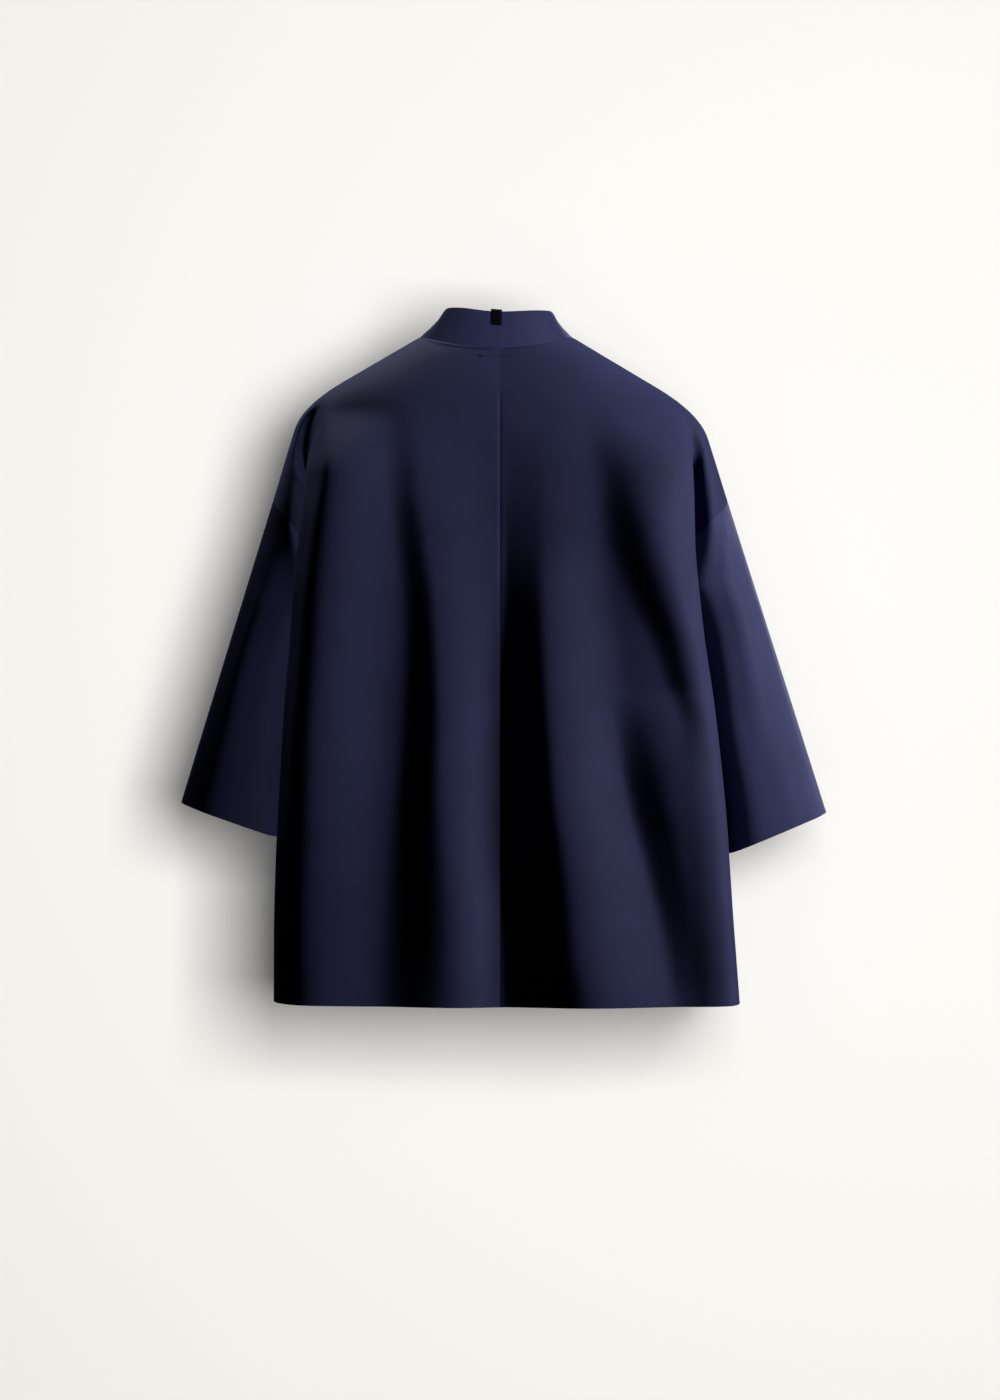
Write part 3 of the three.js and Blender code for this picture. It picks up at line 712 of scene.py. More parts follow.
    def body_point(self, side: Side, face: Face, z: float, u: float) -> Vector:
        """A point of the body's outer face.

        Args:
            side: Which half.
            face: Back or front.
            z: Height of the row.
            u: Place along the section, 0 to 5 from the centre to the seam and 7 at the outer edge.

        Returns:
            The point, in millimetres.
        """
        x, y = self.section(side, face, z).at(u)
        further = self.fold_shift[side.name] * step(*self.shift_rows, z)
        end, full = self.fold_end[side.name]
        relief = self.relief(face, side.sign * x, z) * step(end + further, full + further, u)
        out = -relief if face is Face.BACK else relief
        share = clamp(u / self.SEAM_PLACE, 0, 1) if face is Face.BACK else 1.0
        return Vector((side.sign * x, y + out, self.hung(side, z, share)))

    def reach(self, turn: float) -> float:
        """How far out a turn of the sleeve lies, from 1 at the outer edge to 0 at the underarm."""
        return (1 + math.cos(math.pi * turn)) / 2

    def armhole_z(self, turn: float) -> float:
        """Height of the armhole seam at a turn of the sleeve."""
        return mix(self.underarm, self.seam_top, self.reach(turn) ** (1 / self.armhole_dip))

    def armhole_place(self, turn: float) -> float:
        """Section place of the armhole seam at a turn of the sleeve."""
        return mix(self.SEAM_PLACE, self.OUTER_PLACE, self.reach(turn) ** self.armhole_spread)

    def armhole_point(self, side: Side, face: Face, turn: float) -> Vector:
        """A point of the armhole seam."""
        return self.body_point(side, face, self.armhole_z(turn), self.armhole_place(turn))

    def sleeve_ring(self, side: Side, face: Face, z: float, turn: float) -> Vector:
        """Works out a point of the sleeve's own section.

        Args:
            side: Which sleeve.
            face: Its back or front half.
            z: Height of the section.
            turn: 0 outside and 1 at the body.

        Returns:
            The point, in millimetres.
        """
        outer = self.outline(side, z)
        room = self.arm_room * (1 - math.exp(min(0.0, z - self.underarm) / self.room_over))
        inner = BODY.at(side.name, z) - BODY.at("seam_in", z) * self.side_scale(side, z) + room
        middle = self.ridge_y(z) + self.sleeve_sway * step(self.seam_top, self.sway_full, z)
        deep = middle - ARM.at("back_y", z) if face is Face.BACK else ARM.at("front_y", z) - middle
        power = self.sleeve_back if face is Face.BACK else self.sleeve_power
        c, s = math.cos(math.pi * turn), math.sin(math.pi * turn)
        half = (outer - inner) / 2
        across = math.copysign(abs(c) ** (2 / power), c)
        round_off = abs(s) ** (2 / power)
        y = middle + (-deep if face is Face.BACK else deep) * round_off
        if face is Face.BACK:
            y += side.sleeve_slant * half * across * round_off
            across += SLEEVE_SKEW.at(side.name, z) * round_off * (1 - max(0.0, across)) / half
        return Vector((side.sign * ((outer + inner) / 2 + half * across), y, z))

    def body_side_x(self, side: Side, z: float, y: float) -> float:
        """Finds the body's side between the back ridge and the front corner.

        Args:
            side: Which half.
            z: The height.
            y: The depth.

        Returns:
            Its distance from the middle there.
        """
        face = Face.BACK if y < self.seam_y(Face.BACK, z) else Face.FRONT
        curve = self.section(side, face, z)
        if face is Face.FRONT and y < self.seam_y(face, z):
            return curve.at(self.SEAM_PLACE)[0]
        low, high = float(self.RIDGE_PLACE), float(self.SEAM_PLACE)
        for _ in range(self.SEARCH_STEPS):
            u = (low + high) / 2
            depth = curve.at(u)[1]
            if depth > y if face is Face.BACK else depth < y:
                high = u
            else:
                low = u
        return curve.at(low)[0]

    def sleeve_point(self, side: Side, face: Face, turn: float, v: float) -> Vector:
        """Works out a point of the sleeve.

        Args:
            side: Which sleeve.
            face: Its back or front half.
            turn: 0 outside and 1 at the body.
            v: 0 at the armhole seam and 1 at the cuff, which slants with the arm.

        Returns:
            The point, in millimetres.
        """
        seam = self.armhole_point(side, face, turn)
        corner = self.outline(side, side.cuff_z)
        low = self.sleeve_ring(side, face, side.cuff_z, turn)
        for _ in range(self.CUFF_STEPS):
            low = self.sleeve_ring(side, face, side.cuff_z - side.cuff_rise * (corner - abs(low.x)), turn)
        drift = seam - self.sleeve_ring(side, face, seam.z, turn)
        z = round(mix(seam.z, low.z, v), 3)
        p = self.sleeve_ring(side, face, z, turn) + drift * (1 - step(0, self.seam_drift, v))
        if v > 0 and turn > 0.5:
            clear = self.sleeve_clear * (1 - math.exp(-v / self.clear_over))
            p.x = side.sign * max(abs(p.x), self.body_side_x(side, z, p.y) + clear)
        return p

    def band_back(self, side: Side, share: float) -> tuple[Vector, Vector]:
        """Works out a station of the collar band behind the neck.

        Args:
            side: Which half.
            share: 0 at the centre back and 1 at the shoulder seam.

        Returns:
            The points on its seam and on its free edge.
        """
        z = self.neck_z * share**self.neck_curve
        x, y = self.back_start(side, z)
        reach = side.collar_corner * min(1.0, share * self.band_reach) ** self.band_reach_power
        top = mix(self.band_top, side.collar_top, step(0, self.band_top_full, share))
        top -= self.band_corner_drop * step(self.band_corner_from, 1, share)
        seam = Vector((side.sign * x, y, z))
        lean = self.band_lean + self.band_follow * y * share**self.band_follow_power
        return seam, Vector((side.sign * reach, lean, top))

    def band_front(self, side: Side, z: float) -> tuple[Vector, Vector]:
        """Works out a station of the collar band down the front.

        Args:
            side: Which half.
            z: Height of the seam.

        Returns:
            The points on its seam and on its free edge.
        """
        x, y = self.front_start(side, z)
        seam = Vector((side.sign * x, y, self.hung(side, z, 1)))
        widen = mix(1, side.neck / RIGHT.neck, step(self.valley_start, self.neck_z, z) * self.band_widen)
        free_x = side.sign * FRONT_EDGE.at("free_x", z) * widen
        free_z = self.hung(side, FRONT_EDGE.at("free_z", z), 1)
        return seam, Vector((free_x, FRONT_EDGE.at("free_y", z), free_z))


# Cloth grids


@dataclass
class ClothPoint:
    """A point of a cloth's outer face, its place on the flat cut, and how far it is pressed in or raised."""

    at: Vector
    flat: tuple[float, float]
    lift: float = 0.0


class ClothGrid:
    """A cloth piece being gathered from grids of points that share their edges."""

    KEY = 50  # points within a fiftieth of a millimetre are one

    def __init__(self, name: str) -> None:
        """Starts an empty piece.

        Args:
            name: What its object will be called.
        """
        self.name = name
        self.points: list[ClothPoint] = []
        self.faces: list[tuple[int, ...]] = []
        self.corners: list[tuple[tuple[float, float], ...]] = []
        self._known: dict[tuple[int, ...], int] = {}

    def _add(self, point: ClothPoint) -> int:
        """Takes a point in.

        Args:
            point: The point.

        Returns:
            Its number, which is the same for points that coincide.
        """
        key = self.key_of(point.at)
        if key not in self._known:
            self._known[key] = len(self.points)
            self.points.append(point)
        return self._known[key]

    def add(self, rows: Sequence[Sequence[ClothPoint]], flip: bool) -> None:
        """Joins a grid of points by faces, leaving out those that close up to a line.

        Args:
            rows: The points, row by row.
            flip: True turns the faces round.
        """
        ids = [[self._add(p) for p in row] for row in rows]
        for i in range(len(ids) - 1):
            for j in range(len(ids[i]) - 1):
                ring = [(i, j), (i + 1, j), (i + 1, j + 1), (i, j + 1)]
                if flip:
                    ring.reverse()
                corner: list[int] = []
                flat: list[tuple[float, float]] = []
                for a, b in ring:
                    if ids[a][b] not in corner:
                        corner.append(ids[a][b])
                        flat.append(rows[a][b].flat)
                if len(corner) > 2:
                    self.faces.append(tuple(corner))
                    self.corners.append(tuple(flat))

    def key_of(self, point: Vector) -> tuple[int, ...]:
        """What names a place, the same for points of neighbouring pieces that meet there."""
        return tuple(round(c * self.KEY) for c in point)

    def normals(self) -> dict[tuple[int, ...], Vector]:
        """Adds up the face normals at each place, each as long as its face is large.

        Returns:
            The sums, by place.
        """
        sums: dict[tuple[int, ...], Vector] = {}
        for face in self.faces:
            ring = [self.points[i].at for i in face]
            across = (ring[2] - ring[0]).cross(ring[-1] - ring[1])
            for p in ring:
                sums[self.key_of(p)] = sums.get(self.key_of(p), Vector()) + across
        return sums

    def rim(self) -> list[tuple[int, int]]:
        """The edges of the piece that no second face shares."""
        ways = {(f[k], f[(k + 1) % len(f)]) for f in self.faces for k in range(len(f))}
        return [(p, q) for p, q in ways if (q, p) not in ways]

    def build(self, thickness: float, shared: dict[tuple[int, ...], Vector]) -> bpy.types.Object:
        """Makes the object: an outer face, an inner face behind it and edges between them.

        Args:
            thickness: Millimetres, laid inwards from the outer face.
            shared: Normals at each place, of this piece and its neighbours together.

        Returns:
            The object, linked to the scene.
        """
        normals = [shared[self.key_of(p.at)].normalized() for p in self.points]
        outer = [p.at + n * p.lift for p, n in zip(self.points, normals)]
        inner = [p - n * thickness for p, n in zip(outer, normals)]
        count = len(outer)
        rim = sorted(self.rim())
        faces = list(self.faces)
        faces += [tuple(i + count for i in reversed(f)) for f in self.faces]
        faces += [(q, p, p + count, q + count) for p, q in rim]
        mesh = bpy.data.meshes.new(self.name)
        mesh.from_pydata([tuple(p * MM) for p in outer + inner], [], faces)
        flats = list(self.corners) + [tuple(reversed(flat)) for flat in self.corners]
        flats += [((0.0, 0.0), (0.0, 1.0), (1.0, 1.0), (1.0, 0.0)) for _ in rim]
        layer = mesh.uv_layers.new(name="flat_cut")
        for loop, (u, v) in zip(layer.data, (corner for flat in flats for corner in flat)):
            loop.uv = (u * MM, v * MM)
        mesh.shade_smooth()
        edge_of = {tuple(sorted(e.vertices)): e.index for e in mesh.edges}
        sharp = mesh.attributes.new("sharp_edge", "BOOLEAN", "EDGE")
        for p, q in rim:
            for shift in (0, count):
                sharp.data[edge_of[tuple(sorted((p + shift, q + shift)))]].value = True
        obj = bpy.data.objects.new(self.name, mesh)
        bpy.context.scene.collection.objects.link(obj)
        return obj


def laid_out(rows: Sequence[Sequence[Vector]], lifts: Sequence[Sequence[float]]) -> list[list[ClothPoint]]:
    """Gives each point of a grid its place on the flat cut, by lengths along the rows and down the middle.

    Args:
        rows: The points, row by row.
        lifts: How far each is raised.

    Returns:
        The grid as cloth points.
    """
    grid: list[list[ClothPoint]] = []
    down = 0.0
    for i, row in enumerate(rows):
        middle = len(row) // 2
        down += (row[middle] - rows[max(0, i - 1)][middle]).length
        steps = [0.0] + [(p - q).length for p, q in zip(row[1:], row)]
        across = accumulate(steps)
        grid.append([ClothPoint(p, (x, down), lift) for p, x, lift in zip(row, across, lifts[i])])
    return grid


def spread(start: float, end: float, count: int, ease: float = 1.0) -> list[float]:
    """Places from start to end; an ease over 1 crowds them at the end."""
    return [mix(start, end, 1 - (1 - i / count) ** ease) for i in range(count + 1)]


# Finishes


@dataclass
class NodeSheet:
    """A material's node tree while it is put together."""

    name: str
    material: bpy.types.Material = field(init=False)

    def __post_init__(self) -> None:
        """Makes the material with an empty tree."""
        self.material = bpy.data.materials.new(self.name)
        self.material.use_nodes = True
        self.material.node_tree.nodes.clear()

    def add(
        self, kind: str, links: dict[str | int, bpy.types.NodeSocket] | None = None, **settings: object
    ) -> bpy.types.Node:
        """Adds a node with its settings and links.

        Args:
            kind: The node type, by its full name.
            links: Sockets to connect, by the input's name or number.
            settings: Values, by input name with _ for a space, or by the node's own attribute.

        Returns:
            The node.
        """
        node = self.material.node_tree.nodes.new(kind)
        for key, value in settings.items():
            if hasattr(node, key):
                setattr(node, key, value)
            else:
                node.inputs[key.replace("_", " ")].default_value = value
        for key, source in (links or {}).items():
            self.material.node_tree.links.new(source, node.inputs[key])
        return node

    def ribs(self, where: bpy.types.NodeSocket, direction: str, spacing: float, **settings: float) -> bpy.types.Node:
        """Adds waves that stand for threads or ribs.

        Args:
            where: The coordinates they run in.
            direction: The axis across them.
            spacing: Millimetres from one to the next.
            settings: More of the wave texture's values.

        Returns:
            The node.
        """
        scale = math.pi / 10 / (spacing * MM)  # a wave is pi / 10 long at scale 1
        return self.add("ShaderNodeTexWave", {"Vector": where}, bands_direction=direction, Scale=scale, **settings)

    def finish(
        self,
        height: bpy.types.NodeSocket,
        strength: float,
        depth: float,
        links: dict[str, bpy.types.NodeSocket],
        **settings: object,
    ) -> bpy.types.Material:
        """Puts the relief under a principled surface and ends the tree with it.

        Args:
            height: The relief.
            strength: How strongly it shows.
            depth: Its depth in millimetres.
            links: More sockets of the surface to connect.
            settings: The surface's values.

        Returns:
            The finished material.
        """
        bump = self.add("ShaderNodeBump", {"Height": height}, Strength=strength, Distance=depth * MM)
        surface = self.add("ShaderNodeBsdfPrincipled", {**links, "Normal": bump.outputs["Normal"]}, **settings)
        self.add("ShaderNodeOutputMaterial", {"Surface": surface.outputs["BSDF"]})
        return self.material


@dataclass(frozen=True)
class NavyCrepe:
    """Wool-blend crepe, woven in a plain weave with tightly twisted yarns and piece-dyed navy.

    It gives the eye a dense matt surface with a faint dry grain and a soft, slightly blue sheen where it turns
    away. Real threads lie 0.4 mm apart, under half a pixel here, so the grain is drawn 2.4 mm coarse.
    """

    name: str = "wool_blend_crepe"
    colour: str = "#2b2e56"
    shade: str = "#25284c"
    thread: float = 2.4  # mm between drawn ribs
    cloud: float = 60.0  # mm, size of the slow changes of tone that pressing and handling leave
    grain: float = 5.0  # mm, size of the crepe's uneven pebbling
    bump: float = 0.10
    bump_depth: float = 0.3  # mm
    pebbled: float = 0.6  # share of the pebbling in the relief
    cloud_band: tuple[float, float] = (0.3, 0.7)  # where the noise turns from the shade to the colour
    roughness: float = 0.78
    specular: float = 0.25
    sheen: float = 0.12
    sheen_roughness: float = 0.5
    sheen_colour: str = "#8fa0d8"

    def build(self) -> bpy.types.Material:
        """Makes the material from two crossed sets of ribs, a pebbling and slow clouds of tone.

        Returns:
            The material.
        """
        sheet = NodeSheet(self.name)
        where = sheet.add("ShaderNodeTexCoord").outputs["UV"]
        warp, weft = (
            sheet.ribs(where, axis, self.thread, Distortion=1.6, Detail=1.0, Detail_Scale=2.0).outputs["Fac"]
            for axis in ("X", "Y")
        )
        weave = sheet.add("ShaderNodeMath", {0: warp, 1: weft}, operation="MULTIPLY").outputs[0]
        pebble = sheet.add("ShaderNodeTexNoise", {"Vector": where}, Scale=1 / (self.grain * MM), Detail=4.0)
        relief = sheet.add("ShaderNodeMix", {"A": weave, "B": pebble.outputs["Fac"]}, Factor=self.pebbled)
        clouds = sheet.add("ShaderNodeTexNoise", {"Vector": where}, Scale=1 / (self.cloud * MM), Detail=3.0)
        tone = sheet.add("ShaderNodeValToRGB", {"Fac": clouds.outputs["Fac"]})
        for stop, place, code in zip(tone.color_ramp.elements, self.cloud_band, (self.shade, self.colour)):
            stop.position = place
            stop.color = srgb(code)
        return sheet.finish(
            relief.outputs[0],
            self.bump,
            self.bump_depth,
            {"Base Color": tone.outputs["Color"]},
            Roughness=self.roughness,
            Sheen_Weight=self.sheen,
            Sheen_Roughness=self.sheen_roughness,
            Sheen_Tint=srgb(self.sheen_colour),
            Specular_IOR_Level=self.specular,
        )


@dataclass(frozen=True)
class NeckTapeSatin:
    """Polyester satin tape, woven and folded double.

    It gives the eye a small, nearly black patch with a tight cross rib, smoother than the crepe round it.
    """

    name: str = "polyester_satin_tape"
    colour: str = "#090b1a"
    rib: float = 1.2  # mm between ribs
    bump: tuple[float, float] = (0.3, 0.2)  # strength, and depth in mm
    roughness: float = 0.7
    specular: float = 0.15

    def build(self) -> bpy.types.Material:
        """Makes the material from cross ribs on a plain colour.

        Returns:
            The material.
        """
        sheet = NodeSheet(self.name)
        rib = sheet.ribs(sheet.add("ShaderNodeTexCoord").outputs["Object"], "Z", self.rib)
        looks = {"Base_Color": srgb(self.colour), "Roughness": self.roughness, "Specular_IOR_Level": self.specular}
        return sheet.finish(rib.outputs["Fac"], *self.bump, {}, **looks)


@dataclass(frozen=True)
class SewingThread:
    """Spun polyester sewing thread, twisted, a shade darker than the cloth it is sewn to.

    It gives the eye a tight, dull cord. The twist of a real thread is 0.3 mm long, too fine to show, so it is drawn
    0.8 mm coarse.
    """

    name: str = "polyester_sewing_thread"
    colour: str = "#16193a"
    twist: float = 0.8  # mm from turn to turn
    bump: tuple[float, float] = (0.4, 0.1)  # strength, and depth in mm
    roughness: float = 0.7

    def build(self) -> bpy.types.Material:
        """Makes the material from slanting twists on a plain colour.

        Returns:
            The material.
        """
        sheet = NodeSheet(self.name)
        twist = sheet.ribs(sheet.add("ShaderNodeTexCoord").outputs["Object"], "DIAGONAL", self.twist)
        looks = {"Base_Color": srgb(self.colour), "Roughness": self.roughness}
        return sheet.finish(twist.outputs["Fac"], *self.bump, {}, **looks)


@dataclass(frozen=True)
class StagePaper:
    """Matt pale backdrop paper. Seen from behind, the wall lets the other views through."""

    name: str
    colour: str
    one_sided: bool = False
    roughness: float = 0.5

    def build(self) -> bpy.types.Material:
        """Makes the material, clear from behind where it is one-sided.

        Returns:
            The material.
        """
        sheet = NodeSheet(self.name)
        paper = sheet.add("ShaderNodeBsdfDiffuse", Color=srgb(self.colour), Roughness=self.roughness)
        surface = paper.outputs["BSDF"]
        if self.one_sided:
            clear = sheet.add("ShaderNodeBsdfTransparent").outputs["BSDF"]
            behind = sheet.add("ShaderNodeNewGeometry").outputs["Backfacing"]
            surface = sheet.add("ShaderNodeMixShader", {"Fac": behind, 1: surface, 2: clear}).outputs["Shader"]
        sheet.add("ShaderNodeOutputMaterial", {"Surface": surface})
        return sheet.material


# The jacket's pieces


@dataclass
class Piece:
    """What every piece of the jacket shares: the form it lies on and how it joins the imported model."""

    form: JacketForm
    cloth: bpy.types.Material
    side: Side
    part: str
    flat: tuple[float, float]
    area: float
    thickness: float = 1.0
    held: str = "hung"

    @property
    def name(self) -> str:
        """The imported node's name."""
        return f"{self.part}_{self.side.name}"

    def cut(self) -> ClothGrid:
        """The piece's outer face as a grid."""
        raise NotImplementedError

    def sew(self, grid: ClothGrid, shared: dict[tuple[int, ...], Vector]) -> bpy.types.Object:
        """Makes the piece from its grid and dresses it in its cloth.

        Args:
            grid: What cut gave.
            shared: Normals that it shares with its neighbours.

        Returns:
            The finished piece.
        """
        obj = self.fit(grid.build(self.thickness, shared), self.name, self.cloth)
        return obj

    def fit(self, obj: bpy.types.Object, node: str, material: bpy.types.Material) -> bpy.types.Object:
        """Dresses an object, puts it on the model's body and lets it stand for its node.

        Args:
            obj: The new piece.
            node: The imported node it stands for.
            material: Its finish.

        Returns:
            The object.
        """
        obj.data.materials.append(material)
        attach(obj, "root")
        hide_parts(node)
        cloth = sum(face.area for face in obj.data.polygons)
        reach = [max(loop.uv[axis] for loop in obj.data.uv_layers[0].data) for axis in (0, 1)]
        LOG.info("%s: %d faces, %.3f m2, %.3f x %.3f m", obj.name, len(obj.data.polygons), cloth, *reach)
        return obj


def turns() -> list[float]:
    """Turns of the armhole seam, closer together at the underarm."""
    return spread(0, 1, 34, 1.6)


@dataclass
class BodyPanel(Piece):
    """Half of the back or front, with the dropped shoulder that runs out to the armhole seam."""

    groove: float = 0.4  # depth of a pressed seam
    groove_width: float = 1.3
    seam_shows: tuple[float, float] = (-44, -54)  # the centre back seam begins to show between these heights
    side_groove: tuple[float, float] = (0.32, 0.05)  # depth of the side seam, and its width in section places
    seam_reach: float = 0.1  # section place beyond which the centre back seam leaves no mark

    NECK_SHARES = tuple(i / 28 for i in (*range(28, 11, -1), 10, 8, 6, 4, 0))
    SHOULDER_ROWS = 38
    SKIRT_ROWS = 92
    SEAM_COLUMNS = (0, 0.008, 0.018, 0.035, 0.06)  # close together beside the centre back seam
    CLEAR_OF_SEAM = 0.08
    COLUMNS = (22, 20, 18, 7, 8)  # for each step of the section place
    ARM_COLUMNS = 14

    @property
    def face(self) -> Face:
        """Back or front."""
        return Face(self.part)

    @classmethod
    def rows_above(cls, form: JacketForm) -> list[float]:
        """Heights from the neck point to the top of the armhole seam."""
        neck = [form.neck_z * share**form.neck_curve for share in cls.NECK_SHARES]
        return neck + [form.seam_top * i / cls.SHOULDER_ROWS for i in range(1, cls.SHOULDER_ROWS)]

    @classmethod
    def rows(cls, form: JacketForm) -> list[float]:
        """Every row's height, from the neck point to the hem."""
        armhole = [form.armhole_z(t) for t in turns()]
        return cls.rows_above(form) + armhole + spread(form.underarm, form.hem, cls.SKIRT_ROWS)[1:]

    def lift(self, z: float, u: float, x: float) -> float:
        """Presses the cloth in along the seams and beside the arm.

        Args:
            z: Height.
            u: Place along the section.
            x: Distance from the middle.

        Returns:
            Millimetres out of the cloth, which is never above 0.
        """
        pressed = 0.0
        if self.face is Face.BACK:
            pressed += self.form.arm_crease(self.side, z, u)
            if u < self.seam_reach:
                pressed += self.groove * math.exp(-((x / self.groove_width) ** 2)) * step(*self.seam_shows, z)
        if z < self.form.underarm:
            depth, width = self.side_groove
            pressed += depth * math.exp(-(((self.form.SEAM_PLACE - u) / width) ** 2))
        return -pressed

    def columns(self) -> list[float]:
        """Section places of the grid over the body, from its first edge to the side seam or the valley."""
        places = [u for place, count in enumerate(self.COLUMNS) for u in spread(place, place + 1, count)[1:]]
        return [*self.SEAM_COLUMNS, *(u for u in places if u > self.CLEAR_OF_SEAM)]

    def cut(self) -> ClothGrid:
        """Lays out the part over the body and the dropped shoulder.

        Returns:
            Both grids, joined.
        """
        form, side, face = self.form, self.side, self.face
        grid = ClothGrid(f"{self.name}_cloth")
        flip = (face is Face.BACK) != (side.sign > 0)
        torso = self.columns()
        heights = self.rows(form)
        body = [[form.body_point(side, face, z, u) for u in torso] for z in heights]
        lifts = [[self.lift(z, u, p.x) for u, p in zip(torso, row)] for z, row in zip(heights, body)]
        grid.add(laid_out(body, lifts), flip)
        above = self.rows_above(form)
        heights = [*above, *(form.armhole_z(t) for t in turns())]
        ends = [form.OUTER_PLACE] * len(above) + [form.armhole_place(t) for t in turns()]
        places = [[mix(form.SEAM_PLACE, end, t) for t in spread(0, 1, self.ARM_COLUMNS)] for end in ends]
        arm = [[form.body_point(side, face, z, u) for u in row] for z, row in zip(heights, places)]
        lifts = [[self.lift(z, u, p.x) for u, p in zip(us, row)] for z, us, row in zip(heights, places, arm)]
        grid.add(laid_out(arm, lifts), flip)
        return grid


@dataclass(frozen=True)
class SleeveCrease:
    """A long crease down the back of a sleeve, which a negative height turns into a hollow."""

    turn: tuple[float, float]  # its place round the sleeve at the armhole and at the cuff
    height: float
    width: float
    begins: tuple[float, float] = (0.05, 0.35)  # where down the sleeve it comes in
    ends: tuple[float, float] | None = None

    def at(self, turn: float, v: float) -> float:
        """How far it stands out at a turn of the sleeve and a place down it."""
        share = step(*self.begins, v) * (step(*self.ends, v) if self.ends else 1.0)
        return share * self.height * bell(turn - mix(*self.turn, v), self.width)


SLEEVE_CREASES = {
    "right": (SleeveCrease((0.2, 0.27), 2.0, 0.1), SleeveCrease((0.47, 0.47), 2.2, 0.05, (0, 0.06), (0.85, 0.55))),
    "left": (SleeveCrease((0.4, 0.46), 2.5, 0.12), SleeveCrease((0.25, 0.25), -1.5, 0.12)),
}


@dataclass
class Sleeve(Piece):
    """A wide straight sleeve: one tube from the armhole seam to the open cuff."""

    run_out: float = 0.15  # share of the sleeve over which the shoulder's crease runs out
    seam_groove: float = 0.3
    rows: int = 84

    def raised(self, face: Face, turn: float, v: float) -> float:
        """Adds up the sleeve's creases and the shoulder's own, which runs out down its back.

        Args:
            face: Back or front half.
            turn: Place round the sleeve, 0 outside and 1 at the body.
            v: Place down the sleeve.

        Returns:
            Millimetres out of the plain tube.
        """
        lift = -self.seam_groove if v == 0 else 0.0
        if face is Face.BACK:
            carried = self.form.arm_crease(self.side, self.form.armhole_z(turn), self.form.armhole_place(turn))
            lift += sum(crease.at(turn, v) for crease in SLEEVE_CREASES[self.side.name])
            lift -= carried * (1 - step(0, self.run_out, v))
        return lift

    def cut(self) -> ClothGrid:
        """Lays out the sleeve, all the way round.

        Returns:
            Its grid.
        """
        grid = ClothGrid(f"{self.name}_cloth")
        ring = [(Face.BACK, t) for t in turns()] + [(Face.FRONT, t) for t in reversed(turns()[:-1])]
        shares = spread(0, 1, self.rows)
        points = [[self.form.sleeve_point(self.side, face, t, v) for face, t in ring] for v in shares]
        lifts = [[self.raised(face, t, v) for face, t in ring] for v in shares]
        grid.add(laid_out(points, lifts), self.side.sign > 0)
        return grid


@dataclass
class CollarBand(Piece):
    """Half of the collar band, folded double and sewn to the back neck and the front edge."""

    thickness: float = 2.4
    held: str = "folded"
    columns: int = 10
    tucked: float = 0.3  # the free edge's turn inwards

    def edges(self) -> list[tuple[Vector, Vector]]:
        """Works out the stations, from the centre back round to the hem.

        Returns:
            The points on the seam and on the free edge, station by station.
        """
        form = self.form
        behind = [form.band_back(self.side, share) for share in reversed(BodyPanel.NECK_SHARES)]
        return behind + [form.band_front(self.side, z) for z in BodyPanel.rows(form) if z < form.neck_z]

    def cut(self) -> ClothGrid:
        """Lays out the band.

        Returns:
            Its grid.
        """
        grid = ClothGrid(f"{self.name}_cloth")
        rows = [[seam.lerp(free, j / self.columns) for j in range(self.columns + 1)] for seam, free in self.edges()]
        lifts = [[0.0] * self.columns + [-self.tucked]] * len(rows)
        grid.add(laid_out(rows, lifts), self.side.sign < 0)
        return grid


